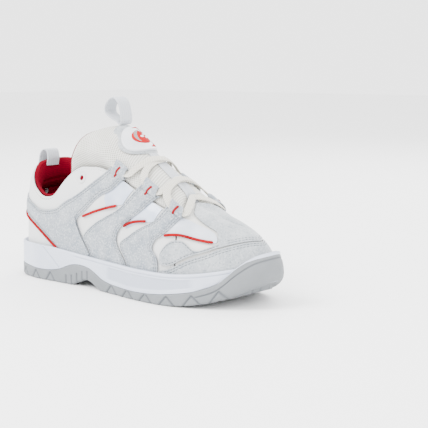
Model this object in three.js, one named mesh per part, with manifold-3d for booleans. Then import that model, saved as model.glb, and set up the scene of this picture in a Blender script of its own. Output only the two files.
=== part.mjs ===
// A padded lace-up bowling shoe for the right foot: rubber cup sole, lasted upper, tongue and lace.
// Millimetres, +X towards the toe, +Y towards the inner side of the foot, +Z up.
import * as THREE from "three";
import { mergeVertices } from "three/addons/utils/BufferGeometryUtils.js";
import Module from "manifold-3d";

// ---- driving dimensions ----
const SHOE_LENGTH = 300; // heel to toe over the outsole
const SHOE_WIDTH = 106.5; // across the ball over the outsole
const TONGUE_HEIGHT = 152; // floor to the highest point of the tongue
const SOLE_HEIGHT = 33; // floor to the midsole's top edge at the heel
const TOE_SPRING = 20; // how far the toe tip lifts off the floor
const ARCH_LIFT = 7; // how far the waist of the outsole lifts off the floor
const OUTSOLE_FLOOR = 4; // tread thickness
const OUTSOLE_WALL = 3; // side wall and toe bumper thickness
const BOARD = 1.8; // insole board
const FOOTBED = 4.5; // removable footbed
const SUEDE = 1.2; // straps, toe guard, backstay
const PANEL = 0.5; // glossy window panels
const LEATHER = 1.3; // quarters and vamp
const STIFFENER = 1.1; // foam, heel counter, toe puff
const LINING = 1.2;
const COLLAR_PAD = 6.5; // thickest part of the padded collar
const TONGUE_PAD = 8; // thickest part of the padded tongue
const CORD_WIDTH = 1.9; // raised piping
const LACE_WIDTH = 6.4;
const LACE_THICKNESS = 1.1;
const WEBBING = 1.5; // pull loops
const WEBBING_WIDTH = 15;
const BADGE_DIAMETER = 33;
const EYELET_DIAMETER = 4.4;
const LAYER_GAP = 0.3; // between neighbouring layers and pieces

// Depths below the last's outer surface, from the outside in.
const SUEDE_OUT = -LAYER_GAP;
const SUEDE_IN = SUEDE_OUT - SUEDE;
const PANEL_OUT = SUEDE_IN - LAYER_GAP;
const PANEL_IN = PANEL_OUT - PANEL;
const LEATHER_OUT = PANEL_IN - LAYER_GAP;
const LEATHER_IN = LEATHER_OUT - LEATHER;
const STIFF_OUT = LEATHER_IN - 1.5 * LAYER_GAP;
const STIFF_IN = STIFF_OUT - STIFFENER;
const LINING_OUT = STIFF_IN - 2 * LAYER_GAP;
const LINING_IN = LINING_OUT - LINING;

// The shape tables are drawn on a 300 x 106.5 x 152 last with a 33 mm sole and scaled to size.
const kx = SHOE_LENGTH / 300;
const ky = SHOE_WIDTH / 106.5;
const kz = TONGUE_HEIGHT / 152;
const ks = SOLE_HEIGHT / 33;

const lerp = THREE.MathUtils.lerp;
const clamp = THREE.MathUtils.clamp;
const smooth = (x, a, b) => THREE.MathUtils.smoothstep(x, a, b);

// Smooth curve through rows of [x, y]: cubic pieces whose slopes are centred differences.
function table(rows) {
  const slope = (i, j) => (rows[j][1] - rows[i][1]) / (rows[j][0] - rows[i][0]);
  const last = rows.length - 1;
  const tangents = rows.map((row, i) => {
    if (i === 0) return slope(0, 1);
    if (i === last) return slope(last - 1, last);
    const before = row[0] - rows[i - 1][0];
    const after = rows[i + 1][0] - row[0];
    return (slope(i - 1, i) * after + slope(i, i + 1) * before) / (before + after);
  });
  return (x) => {
    const q = clamp(x, rows[0][0], rows[last][0]);
    let i = rows.findIndex((row) => row[0] > q) - 1;
    if (i < 0) i = last - 1;
    const width = rows[i + 1][0] - rows[i][0];
    const s = (q - rows[i][0]) / width;
    const h = s * s * (3 - 2 * s);
    return (
      lerp(rows[i][1], rows[i + 1][1], h) +
      width * (s * (1 - s) * (1 - s) * tangents[i] - s * s * (1 - s) * tangents[i + 1])
    );
  };
}

// ---- the last: sole outline and upper surface ----
// Outline points on the 300 x 106.5 last, heel to toe; the outer side is y < 0.
const OUTER = [
  [0, 0], [2.5, -19], [13, -32.5], [35, -40.5], [70, -42], [110, -43], [150, -48.5],
  [190, -54.5], [217, -55], [245, -48.5], [268, -38], [286, -24.5], [296.5, -9], [299.5, 4],
];
const INNER = [
  [0, 0], [2.5, 19], [13, 32.5], [35, 39.5], [70, 39], [110, 37.5], [140, 39.5],
  [170, 45], [200, 50], [225, 51], [250, 46.5], [273, 36.5], [290, 22.5], [299.5, 4],
];

// One side of the outline as a point at t, the share of its length from heel to toe.
// The other side's nearest point at each end keeps the curve smooth round heel and toe.
function outlineCurve(points, other) {
  const rows = [other[1], ...points, other[other.length - 2]];
  const run = [0];
  for (let i = 1; i < rows.length; i++) {
    run.push(run[i - 1] + Math.hypot(rows[i][0] - rows[i - 1][0], rows[i][1] - rows[i - 1][1]));
  }
  const start = run[1];
  const total = run[rows.length - 2] - start;
  const x = table(rows.map((p, i) => [(run[i] - start) / total, p[0]]));
  const y = table(rows.map((p, i) => [(run[i] - start) / total, p[1]]));
  return (t) => [x(t) * kx, y(t) * ky];
}
const outlines = { outer: outlineCurve(OUTER, INNER), inner: outlineCurve(INNER, OUTER) };

// q runs round the sole: 0 heel, 0..1 outer side to the toe, 0..-1 inner side to the toe, period 2.
function place(q) {
  let r = q;
  while (r > 1) r -= 2;
  while (r <= -1) r += 2;
  return r >= 0 ? { side: "outer", t: r } : { side: "inner", t: -r };
}

// Point of the outline at q, moved inwards square to it.
function outline(q, inset) {
  const point = (r) => {
    const { side, t } = place(r);
    return outlines[side](t);
  };
  const step = 0.004;
  const p = point(q);
  const a = point(q - step);
  const b = point(q + step);
  const length = Math.hypot(b[0] - a[0], b[1] - a[1]);
  return [p[0] - ((b[1] - a[1]) / length) * inset, p[1] + ((b[0] - a[0]) / length) * inset];
}

// How far the upper stands inside the sole's outline.
const setback = table([[0, 2.2], [0.12, 2.6], [0.3, 3.4], [0.5, 4.6], [0.75, 5.6], [1, 5.6]]);

// Underside of the sole: toe spring, heel bevel and the lifted waist.
function spring(x) {
  return TOE_SPRING * clamp((x / kx - 215) / 85, 0, 1) ** 2;
}
function under(x) {
  const bevel = 4 * clamp((20 - x / kx) / 20, 0, 1) ** 2;
  const waist = clamp((x / kx - 88) / 50, 0, 1);
  return spring(x) + bevel + ARCH_LIFT * Math.sin(Math.PI * waist) ** 2;
}

// Heights along the shoe.
const boardTable = table([[0, 22], [60, 21], [150, 17], [215, 16], [300, 16]]);
const boardTop = (x) => boardTable(x / kx) * ks + spring(x) * 0.75;
const foxTable = table([
  [0, 13], [76, 13.5], [92, 19], [116, 19], [140, 10.5], [165, 8], [205, 8.5], [228, 11],
  [252, 16], [266, 22], [281, 36], [291, 44], [300, 48],
]);
const foxTop = (x) => foxTable(x / kx) * ks + (spring(x) - 20 * clamp((x / kx - 215) / 85, 0, 1) ** 2);
const cupTable = table([[0, 34], [60, 33], [110, 29.5], [160, 28], [300, 28]]);
const cupTop = (x) => Math.max(cupTable(x / kx) * ks + spring(x) * 0.6, foxTop(x) - 1);

// The upper is a family of superellipse arcs from the sole up to the ridge over the foot.
const spineTable = table([
  [0, 55], [0.1, 60], [0.2, 82], [0.3, 110], [0.4, 131.5], [0.5, 153], [0.6, 175.5],
  [0.7, 197], [0.8, 218.5], [0.9, 241], [1, 252],
]);
const ridgeTable = table([
  [55, 152], [100, 151], [118, 149.5], [131, 146], [145, 136], [160, 123.5], [177, 110.5],
  [195, 97], [207, 86.5], [218, 79], [235, 73], [252, 66.5],
]);
const powerTable = table([[55, 2.6], [110, 2.4], [180, 2.2], [215, 2.05], [252, 1.9]]);

// Point of the upper: q round the sole, w from 0 at the sole to 1 at the ridge and on to 2.
function skin(q, w) {
  if (w > 1) return skin(-q, 2 - w);
  const { t } = place(q);
  const [x, y] = outline(q, setback(t));
  const spine = spineTable(t);
  const power = powerTable(spine);
  const angle = (w * Math.PI) / 2;
  const c = Math.max(Math.cos(angle), 0);
  const s = Math.max(Math.sin(angle), 0);
  const r = (c ** power + s ** power) ** (-1 / power);
  const ridgeY = 4 * ky * clamp((t - 0.8) / 0.2, 0, 1) ** 2;
  const base = boardTop(x);
  return new THREE.Vector3(
    lerp(spine * kx, x, r * c),
    lerp(ridgeY, y, r * c),
    lerp(base, ridgeTable(spine) * kz, r * s)
  );
}

function skinNormal(q, w) {
  const step = 0.004;
  const low = Math.max(w, step);
  const along = skin(q + step, low).sub(skin(q - step, low));
  const across = skin(q, low + step).sub(skin(q, low - step));
  const normal = along.cross(across);
  if (normal.length() < 1e-6) return skinNormal(q, w - 0.04);
  return normal.normalize();
}

function lift(q, w, depth) {
  return skin(q, w).addScaledVector(skinNormal(q, w), depth);
}

// ---- solids ----
const wasm = await Module();
wasm.setup();

function volume(points, faces) {
  let sum = 0;
  for (const [a, b, c] of faces) {
    sum += points[a].dot(new THREE.Vector3().crossVectors(points[b], points[c]));
  }
  return sum;
}

// A closed body from points and triangles: welded, without slivers, faces pointing out.
function body(points, faces) {
  const turned = volume(points, faces) < 0;
  const loose = new THREE.BufferGeometry();
  const flat = points.flatMap((p) => [p.x, p.y, p.z]);
  loose.setAttribute("position", new THREE.Float32BufferAttribute(flat, 3));
  loose.setIndex(faces.flatMap(([a, b, c]) => (turned ? [a, c, b] : [a, b, c])));
  const welded = mergeVertices(loose, 1e-3);
  const index = Array.from(welded.index.array);
  const kept = [];
  for (let i = 0; i < index.length; i += 3) {
    const [a, b, c] = index.slice(i, i + 3);
    if (a !== b && b !== c && c !== a) kept.push(a, b, c);
  }
  welded.setIndex(kept);
  return welded;
}

function quad(faces, a, b, c, d) {
  faces.push([a, b, c], [a, c, d]);
}

// A sheet with thickness: at(u, v) gives [q, w], depths(u, v) the outer and inner depth.
// zipped leaves out the wall at v = 1, where a sheet that goes round the toe meets itself.
function sheet(nu, nv, at, depths, zipped = false) {
  const points = [];
  const faces = [];
  for (let layer = 0; layer < 2; layer++) {
    for (let i = 0; i <= nu; i++) {
      for (let j = 0; j <= nv; j++) {
        const [q, w] = at(i / nu, j / nv);
        points.push(lift(q, w, depths(i / nu, j / nv)[layer]));
      }
    }
  }
  const half = (nu + 1) * (nv + 1);
  const id = (layer, i, j) => layer * half + i * (nv + 1) + j;
  for (let i = 0; i < nu; i++) {
    for (let j = 0; j < nv; j++) {
      quad(faces, id(0, i, j), id(0, i + 1, j), id(0, i + 1, j + 1), id(0, i, j + 1));
      quad(faces, id(1, i, j), id(1, i, j + 1), id(1, i + 1, j + 1), id(1, i + 1, j));
    }
    quad(faces, id(0, i + 1, 0), id(0, i, 0), id(1, i, 0), id(1, i + 1, 0));
    if (!zipped) quad(faces, id(0, i, nv), id(0, i + 1, nv), id(1, i + 1, nv), id(1, i, nv));
  }
  for (let j = 0; j < nv; j++) {
    quad(faces, id(0, 0, j), id(0, 0, j + 1), id(1, 0, j + 1), id(1, 0, j));
    quad(faces, id(0, nu, j + 1), id(0, nu, j), id(1, nu, j), id(1, nu, j + 1));
  }
  return body(points, faces);
}
const even = (outer, inner) => () => [outer, inner];

// A smooth edge drawn on the upper through [t, w] points, given for the outer side.
// Its share s runs by length, with one unit of w about a third of one unit of t.
function edge(points, side = 1) {
  const stretch = 0.34;
  const curve = new THREE.SplineCurve(points.map(([t, w]) => new THREE.Vector2(t, w * stretch)));
  return (s) => {
    const p = curve.getPointAt(clamp(s, 0, 1));
    return [p.x * side, p.y / stretch];
  };
}

// A sheet stretched between two edges.
function between(a, b, nu, nv, outer, inner) {
  const at = (u, v) => {
    const [qa, wa] = a(u);
    const [qb, wb] = b(u);
    return [lerp(qa, qb, v), lerp(wa, wb, v)];
  };
  return sheet(nu, nv, at, even(outer, inner));
}

// A cord of the given width laid along an edge.
function cordOn(path, width, steps, outer, inner) {
  const at = (u, v) => {
    const [q, w] = path(u);
    const [q2, w2] = path(Math.min(u + 0.02, 1));
    const [q1, w1] = path(Math.max(u - 0.02, 0));
    const ahead = skin(q2, w2).sub(skin(q1, w1)).normalize();
    const span = 0.01;
    const alongQ = skin(q + span, w).sub(skin(q, w)).divideScalar(span);
    const alongW = skin(q, w + span).sub(skin(q, w)).divideScalar(span);
    const side = new THREE.Vector3().crossVectors(skinNormal(q, w), ahead);
    const offset = (v - 0.5) * width;
    return [
      q + (offset * side.dot(alongQ)) / alongQ.lengthSq(),
      w + (offset * side.dot(alongW)) / alongW.lengthSq(),
    ];
  };
  return sheet(steps, 1, at, even(outer, inner));
}

// A round or oval plate on the upper about [q, w]; hole is the inner share of its radius.
function plate(q, w, radiusAlong, radiusAcross, spokes, rings, hole, outer, inner) {
  const step = 0.01;
  const perQ = step / skin(q + step, w).distanceTo(skin(q, w));
  const perW = step / skin(q, w + step).distanceTo(skin(q, w));
  const points = [];
  const faces = [];
  for (let layer = 0; layer < 2; layer++) {
    const depth = layer === 0 ? outer : inner;
    for (let k = 0; k < rings; k++) {
      const share = lerp(hole, 1, hole > 0 ? k / (rings - 1) : (k + 1) / rings);
      for (let j = 0; j < spokes; j++) {
        const angle = (2 * Math.PI * j) / spokes;
        const dq = radiusAlong * share * Math.cos(angle) * perQ;
        const dw = radiusAcross * share * Math.sin(angle) * perW;
        points.push(lift(q + dq, w + dw, depth));
      }
    }
  }
  const half = rings * spokes;
  const id = (layer, k, j) => layer * half + k * spokes + (j % spokes);
  for (let j = 0; j < spokes; j++) {
    for (let k = 0; k < rings - 1; k++) {
      quad(faces, id(0, k, j), id(0, k + 1, j), id(0, k + 1, j + 1), id(0, k, j + 1));
      quad(faces, id(1, k, j), id(1, k, j + 1), id(1, k + 1, j + 1), id(1, k + 1, j));
    }
    const rim = rings - 1;
    quad(faces, id(0, rim, j), id(1, rim, j), id(1, rim, j + 1), id(0, rim, j + 1));
    if (hole > 0) quad(faces, id(0, 0, j), id(0, 0, j + 1), id(1, 0, j + 1), id(1, 0, j));
  }
  if (hole === 0) {
    const middle = points.length;
    points.push(lift(q, w, outer), lift(q, w, inner));
    for (let j = 0; j < spokes; j++) {
      faces.push([middle, id(0, 0, j), id(0, 0, j + 1)]);
      faces.push([middle + 1, id(1, 0, j + 1), id(1, 0, j)]);
    }
  }
  return body(points, faces);
}

// A body lofted through rims round the sole; each rim is [inset(t), height(x)].
// capped closes the ends with rungs from side to side, otherwise the last rim joins the first.
function sole(rims, steps, capped) {
  const points = [];
  const faces = [];
  const count = 2 * steps;
  for (const [inset, height] of rims) {
    for (let i = 0; i < count; i++) {
      const q = i / steps;
      const [x, y] = outline(q, inset(place(q).t));
      points.push(new THREE.Vector3(x, y, height(x)));
    }
  }
  const id = (k, i) => (k % rims.length) * count + (i % count);
  const bands = capped ? rims.length - 1 : rims.length;
  for (let k = 0; k < bands; k++) {
    for (let i = 0; i < count; i++) quad(faces, id(k, i), id(k, i + 1), id(k + 1, i + 1), id(k + 1, i));
  }
  if (capped) {
    for (const [k, up] of [[0, false], [rims.length - 1, true]]) {
      for (let i = 0; i < steps; i++) {
        const corners = [id(k, i), id(k, i + 1), id(k, count - i - 1), id(k, count - i)];
        const a = i === 0 ? corners.slice(0, 3) : [corners[0], corners[1], corners[2]];
        const b = i === 0 || i === steps - 1 ? null : [corners[0], corners[2], corners[3]];
        for (const face of [i === steps - 1 ? [corners[0], corners[1], corners[3]] : a, b]) {
          if (face) faces.push(up ? face : face.slice().reverse());
        }
      }
    }
  }
  return body(points, faces);
}

function toManifold(geometry) {
  const mesh = new wasm.Mesh({
    numProp: 3,
    vertProperties: new Float32Array(geometry.attributes.position.array),
    triVerts: new Uint32Array(geometry.index.array),
  });
  return new wasm.Manifold(mesh);
}
function fromManifold(solid) {
  const mesh = solid.getMesh();
  const geometry = new THREE.BufferGeometry();
  geometry.setAttribute("position", new THREE.Float32BufferAttribute(mesh.vertProperties, 3));
  geometry.setIndex(new THREE.Uint32BufferAttribute(mesh.triVerts, 1));
  return geometry;
}
const cut = (a, b) => fromManifold(toManifold(a).subtract(toManifold(b)));
const join = (a, b) => fromManifold(toManifold(a).add(toManifold(b)));

// ---- materials ----
const MATERIALS = {
  outsole_rubber: { color: 0xaeb1b3, roughness: 0.75, metalness: 0 },
  midsole_rubber: { color: 0xe6e9ee, roughness: 0.55, metalness: 0 },
  white_leather: { color: 0xe4e6e8, roughness: 0.5, metalness: 0 },
  gloss_film: { color: 0xdfe4ee, roughness: 0.2, metalness: 0 },
  grey_suede: { color: 0xc3c8cc, roughness: 0.95, metalness: 0 },
  red_piping: { color: 0xc02026, roughness: 0.5, metalness: 0 },
  red_lining: { color: 0xb01c28, roughness: 0.9, metalness: 0 },
  tongue_mesh: { color: 0xe2e1dc, roughness: 0.9, metalness: 0 },
  webbing: { color: 0xdde0e4, roughness: 0.7, metalness: 0 },
  lace_cotton: { color: 0xeceae2, roughness: 0.85, metalness: 0 },
  badge_plastic: { color: 0xf0f2f5, roughness: 0.35, metalness: 0 },
  stiffener: { color: 0xcbbf9f, roughness: 0.8, metalness: 0 },
  foam: { color: 0x55585c, roughness: 0.9, metalness: 0 },
};
const shoe = new THREE.Group();
function add(name, geometry, material) {
  const finish = new THREE.MeshStandardMaterial(MATERIALS[material]);
  const mesh = new THREE.Mesh(geometry, finish);
  mesh.name = name;
  shoe.add(mesh);
}

// ---- sole ----
const STEPS = 30; // cells along each side of the sole
const inset = (value) => () => value;
const cupFloor = (x) => boardTop(x) - BOARD - 2 * LAYER_GAP;

function outsole() {
  const ease = 1.5; // rounding where the tread meets the side wall
  return sole(
    [
      [inset(ease), under],
      [inset(0), (x) => under(x) + ease],
      [inset(0), foxTop],
      [inset(OUTSOLE_WALL), foxTop],
      [inset(OUTSOLE_WALL), (x) => under(x) + OUTSOLE_FLOOR],
    ],
    STEPS,
    true
  );
}

function midsole() {
  const wall = (t) => setback(t) - 0.1;
  const bottom = (x) => under(x) + OUTSOLE_FLOOR + LAYER_GAP;
  const whole = sole(
    [[inset(0), bottom], [inset(0), cupTop], [wall, cupTop], [wall, cupFloor]],
    STEPS,
    true
  );
  const reach = 4;
  const outside = inset(-reach);
  const inside = inset(OUTSOLE_WALL + LAYER_GAP);
  const top = (x) => foxTop(x) + 2 * LAYER_GAP;
  const outer = sole([[outside, () => -reach], [outside, top], [inside, top], [inside, () => -reach]], STEPS, false);
  return cut(whole, outer);
}

const flatSlab = (margin, bottom, top, steps) =>
  sole([[(t) => setback(t) + margin, bottom], [(t) => setback(t) + margin, top]], steps, true);

add("outsole", outsole(), "outsole_rubber");
add("midsole", midsole(), "midsole_rubber");
add(
  "insole_board",
  flatSlab(0.9, (x) => boardTop(x) - BOARD - LAYER_GAP, (x) => boardTop(x) - LAYER_GAP, 24),
  "stiffener"
);
add(
  "footbed",
  flatSlab(-LINING_IN + 1.6, (x) => boardTop(x) + LAYER_GAP, (x) => boardTop(x) + LAYER_GAP + FOOTBED, 24),
  "red_lining"
);

// ---- upper: edges shared by the pieces, drawn as [t, w] ----
const HALF_SEAM = 0.008; // share of t left at the heel for the back seam
const VAMP_SEAM = 0.718; // where the quarters meet the vamp
// Top line of the quarters: heel, dip below the ankle, collar, eyestay. The inner side dips less.
const topLines = {
  outer: table([
    [0, 0.43], [0.05, 0.415], [0.1, 0.37], [0.155, 0.305], [0.205, 0.28], [0.24, 0.3],
    [0.27, 0.375], [0.305, 0.44], [0.36, 0.47], [0.434, 0.49], [0.55, 0.51], [0.72, 0.55],
  ]),
  inner: table([
    [0, 0.43], [0.05, 0.437], [0.1, 0.437], [0.155, 0.415], [0.205, 0.4], [0.24, 0.405],
    [0.27, 0.42], [0.305, 0.445], [0.36, 0.47], [0.434, 0.49], [0.55, 0.51], [0.72, 0.55],
  ]),
};
const topLine = (t, side = 1) => (side > 0 ? topLines.outer(t) : topLines.inner(t));
// Top edge of the suede toe guard.
const guardLine = table([
  [0.668, 0.1], [0.706, 0.135], [0.759, 0.23], [0.811, 0.31], [0.84, 0.36], [0.878, 0.42],
  [0.931, 0.49], [1, 0.51],
]);
const HEEL_STRAP_TOP = [
  [0.033, 0.3], [0.13, 0.25], [0.191, 0.22], [0.248, 0.23], [0.284, 0.27], [0.34, 0.33],
  [0.413, 0.45], [0.447, 0.52],
];
const HEEL_STRAP_LOW = [
  [0.033, 0.235], [0.12, 0.19], [0.193, 0.14], [0.246, 0.085], [0.292, 0.035], [0.35, 0.03],
  [0.398, 0.03], [0.379, 0.085], [0.352, 0.13], [0.331, 0.17], [0.34, 0.21], [0.372, 0.26],
  [0.425, 0.35], [0.468, 0.42], [0.505, 0.52],
];
const MIDDLE_STRAP_REAR = [
  [0.406, 0.03], [0.387, 0.085], [0.366, 0.135], [0.403, 0.2], [0.449, 0.26], [0.496, 0.33],
  [0.529, 0.42], [0.556, 0.56],
];
const MIDDLE_STRAP_FRONT = [
  [0.554, 0.03], [0.536, 0.09], [0.507, 0.15], [0.5, 0.19], [0.514, 0.25], [0.549, 0.32],
  [0.592, 0.42], [0.638, 0.57],
];
const FRONT_STRAP_REAR = [
  [0.562, 0.03], [0.544, 0.095], [0.517, 0.165], [0.551, 0.23], [0.589, 0.3], [0.628, 0.37],
  [0.649, 0.44], [0.672, 0.56],
];
const FRONT_STRAP_FRONT = [
  [0.661, 0.03], [0.666, 0.1], [0.661, 0.17], [0.643, 0.22], [0.652, 0.28], [0.673, 0.33],
  [0.702, 0.42], [0.733, 0.56],
];

function quarter(side) {
  const at = (u, v) => {
    const t = lerp(HALF_SEAM, VAMP_SEAM - 0.002, u);
    return [t * side, topLine(t, side) * v];
  };
  const leather = sheet(STEPS, 5, at, even(LEATHER_OUT, LEATHER_IN));
  return cut(leather, eyeletHole(side));
}

// The punched hole in the collar of each quarter.
const EYELET = [0.337, 0.4];
function eyeletHole(side) {
  const deep = 3;
  const axis = skinNormal(EYELET[0] * side, EYELET[1]);
  const hole = new THREE.CylinderGeometry(EYELET_DIAMETER / 2, EYELET_DIAMETER / 2, 2 * deep, 20);
  hole.applyQuaternion(new THREE.Quaternion().setFromUnitVectors(new THREE.Vector3(0, 1, 0), axis));
  const middle = lift(EYELET[0] * side, EYELET[1], (LEATHER_OUT + LEATHER_IN) / 2);
  hole.translate(middle.x, middle.y, middle.z);
  hole.deleteAttribute("normal");
  hole.deleteAttribute("uv");
  return mergeVertices(hole, 1e-3);
}

// A sheet round the toe, zipped along the ridge; rear(w) is its rear edge, low(t) its lower one.
function toeSheet(nu, nv, rear, low, outer, inner) {
  const at = (u, v) => {
    const reach = 1 - Math.abs(2 * u - 1);
    let t = lerp(rear(0), 1, reach);
    let w = 0;
    for (let pass = 0; pass < 4; pass++) {
      w = lerp(low(t), 1, v);
      t = lerp(rear(w), 1, reach);
    }
    return [u <= 0.5 ? t : 2 - t, w];
  };
  return sheet(nu, nv, at, even(outer, inner), true);
}

const throat = (from, to) => (w) => lerp(from, to, smooth(w, 0.56, 0.8));

function heelStrap(side) {
  const top = edge(HEEL_STRAP_TOP, side);
  const low = edge(HEEL_STRAP_LOW, side);
  return between(top, low, 26, 3, SUEDE_OUT, SUEDE_IN);
}
function middleStrap(side) {
  return between(edge(MIDDLE_STRAP_REAR, side), edge(MIDDLE_STRAP_FRONT, side), 14, 3, SUEDE_OUT, SUEDE_IN);
}
function frontStrap(side) {
  return between(edge(FRONT_STRAP_REAR, side), edge(FRONT_STRAP_FRONT, side), 14, 3, SUEDE_OUT, SUEDE_IN);
}

// The folded end of a strap: a flat tube for the lace, open towards heel and toe.
// Each row: t and w of the middle, half its length in t.
const LOOPS = [
  [0.479, 0.555, 0.019],
  [0.604, 0.61, 0.019],
  [0.708, 0.6, 0.019],
];
const LOOP_DEPTH = 0.2; // middle of the tube above the last
function strapLoop(index, side) {
  const [t, w, half] = LOOPS[index];
  const around = 10;
  const slices = 2;
  const clearAcross = LACE_WIDTH / 4;
  const clearHigh = 1;
  const wall = 1.2;
  const holeAcross = LACE_WIDTH / 2 + clearAcross;
  const holeHigh = LACE_THICKNESS / 2 + clearHigh;
  const step = 0.01;
  const perW = step / skin(t * side, w + step).distanceTo(skin(t * side, w));
  const points = [];
  const faces = [];
  for (const grow of [wall, 0]) {
    for (let i = 0; i <= slices; i++) {
      for (let j = 0; j < around; j++) {
        const angle = (2 * Math.PI * j) / around;
        const dw = (holeAcross + grow) * Math.cos(angle) * perW;
        const depth = LOOP_DEPTH + (holeHigh + grow) * Math.sin(angle);
        points.push(lift((t + lerp(-half, half, i / slices)) * side, w + dw, depth));
      }
    }
  }
  const ring = (slices + 1) * around;
  const id = (layer, i, j) => layer * ring + i * around + (j % around);
  for (let j = 0; j < around; j++) {
    for (let i = 0; i < slices; i++) {
      quad(faces, id(0, i, j), id(0, i + 1, j), id(0, i + 1, j + 1), id(0, i, j + 1));
      quad(faces, id(1, i, j), id(1, i, j + 1), id(1, i + 1, j + 1), id(1, i + 1, j));
    }
    quad(faces, id(0, 0, j), id(0, 0, j + 1), id(1, 0, j + 1), id(1, 0, j));
    quad(faces, id(0, slices, j + 1), id(0, slices, j), id(1, slices, j), id(1, slices, j + 1));
  }
  return body(points, faces);
}

// ---- upper: the pieces, outer side then inner side ----
const SIDES = [["outer", 1], ["inner", -1]];
for (const [label, side] of SIDES) {
  add(`quarter_${label}`, quarter(side), "white_leather");
}
add("vamp", toeSheet(28, 5, throat(VAMP_SEAM + 0.002, 0.785), () => 0, LEATHER_OUT, LEATHER_IN), "white_leather");

for (const [label, side] of SIDES) {
  const foamAt = (u, v) => {
    const t = lerp(0.285, 0.705, u);
    return [t * side, lerp(0.02, topLine(t, side) - 0.015, v)];
  };
  add(`quarter_foam_${label}`, sheet(18, 4, foamAt, even(STIFF_OUT, STIFF_IN)), "foam");
}
const counterAt = (u, v) => {
  const q = lerp(-0.275, 0.275, u);
  return [q, 0.25 * v * (1 - 0.5 * smooth(Math.abs(q), 0.15, 0.275))];
};
add("heel_counter", sheet(26, 3, counterAt, even(STIFF_OUT, STIFF_IN)), "stiffener");
const puffAt = (u, v) => {
  const q = lerp(0.84, 1.16, u);
  return [q, lerp(0.01, 0.66, v)];
};
add("toe_puff", sheet(16, 6, puffAt, even(STIFF_OUT - LAYER_GAP / 2, STIFF_IN - LAYER_GAP / 2)), "stiffener");

// The padded collar starts COLLAR_BAND below the top line and fades out before the tongue.
const COLLAR_BAND = 0.15;
const COLLAR_END = 0.4;
for (const [label, side] of SIDES) {
  const liningAt = (u, v) => {
    const t = lerp(HALF_SEAM, 0.725, u);
    const padded = 1 - smooth(t, COLLAR_END, COLLAR_END + 0.02);
    return [t * side, (topLine(t, side) - 0.01 - (COLLAR_BAND + 0.02) * padded) * v];
  };
  add(`quarter_lining_${label}`, sheet(24, 4, liningAt, even(LINING_OUT, LINING_IN)), "red_lining");
}
add("vamp_lining", toeSheet(20, 5, throat(0.735, 0.805), () => 0, LINING_OUT, LINING_IN), "red_lining");

const padThickness = table([[0, 1], [0.16, 1], [0.22, 0.8], [0.29, 0.35], [0.34, 0], [1, 0]]);
const collarAt = (u, v) => {
  const q = lerp(-COLLAR_END, COLLAR_END, u);
  const top = topLine(Math.abs(q), Math.sign(q) || 1);
  return [q, lerp(top - COLLAR_BAND + 0.01, top + 0.005, v)];
};
const collarDepth = (u, v) => {
  const t = Math.abs(lerp(-COLLAR_END, COLLAR_END, u));
  const swell = (COLLAR_PAD - LINING) * padThickness(t) * Math.sin(Math.PI * (0.1 + 0.85 * v)) ** 0.6;
  return [LINING_OUT, LINING_IN - swell];
};
add("collar_padding", sheet(34, 4, collarAt, collarDepth), "red_lining");

// ---- upper: suede, panels and piping ----
const backstayAt = (u, v) => [lerp(-0.029, 0.029, u), lerp(0.035, 0.36, v)];
add("heel_backstay", sheet(4, 7, backstayAt, even(SUEDE_OUT, SUEDE_IN)), "grey_suede");

for (const [label, side] of SIDES) {
  add(`heel_strap_${label}`, join(heelStrap(side), strapLoop(0, side)), "grey_suede");
  add(`middle_strap_${label}`, join(middleStrap(side), strapLoop(1, side)), "grey_suede");
  add(`front_strap_${label}`, join(frontStrap(side), strapLoop(2, side)), "grey_suede");
}

const GUARD_REAR = 0.67;
const guardAt = (u, v) => {
  const q = lerp(GUARD_REAR, 2 - GUARD_REAR, u);
  const t = place(q).t;
  return [q, lerp(0.03, guardLine(t) - 0.008, v)];
};
add("toe_guard", sheet(28, 4, guardAt, even(SUEDE_OUT, SUEDE_IN)), "grey_suede");

// Suede over the toe box, with a finger that reaches back along each side under the window.
const FINGER_LOW = [[0.672, 0.16], [0.706, 0.155], [0.759, 0.245], [0.811, 0.325], [0.85, 0.385]];
const FINGER_HIGH = [[0.668, 0.21], [0.685, 0.27], [0.715, 0.34], [0.75, 0.37], [0.762, 0.3], [0.79, 0.32], [0.826, 0.385], [0.85, 0.45]];
function vampSuede() {
  const rear = (w) => lerp(0.845, 0.785, smooth(w, 0.56, 0.72));
  let piece = toeSheet(26, 4, rear, (t) => guardLine(t) + 0.008, SUEDE_OUT, SUEDE_IN);
  for (const [, side] of SIDES) {
    piece = join(piece, between(edge(FINGER_LOW, side), edge(FINGER_HIGH, side), 14, 2, SUEDE_OUT, SUEDE_IN));
  }
  return piece;
}
add("vamp_suede", vampSuede(), "grey_suede");

// Glossy panels in the windows between the straps: [lower edge, upper edge].
const PANELS = {
  rear_window: [
    [[0.36, 0.22], [0.42, 0.28], [0.51, 0.37]],
    [[0.4, 0.33], [0.45, 0.41], [0.49, 0.495], [0.54, 0.5]],
  ],
  middle_window: [
    [[0.535, 0.26], [0.58, 0.325], [0.635, 0.385]],
    [[0.57, 0.4], [0.6, 0.46], [0.62, 0.515], [0.66, 0.52]],
  ],
  front_window: [
    [[0.665, 0.305], [0.7, 0.36], [0.75, 0.405], [0.8, 0.42], [0.838, 0.43]],
    [[0.7, 0.43], [0.733, 0.57], [0.78, 0.6], [0.82, 0.59], [0.84, 0.53], [0.843, 0.47]],
  ],
};
const CORDS = {
  rear_piping: [[0.365, 0.225], [0.4, 0.258], [0.434, 0.29], [0.488, 0.345]],
  middle_piping: [[0.534, 0.275], [0.56, 0.315], [0.61, 0.365]],
  front_piping: [[0.695, 0.362], [0.733, 0.4], [0.785, 0.42], [0.828, 0.43]],
  heel_piping: [[0.036, 0.222], [0.12, 0.175], [0.193, 0.125], [0.243, 0.073], [0.275, 0.04]],
};
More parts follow.
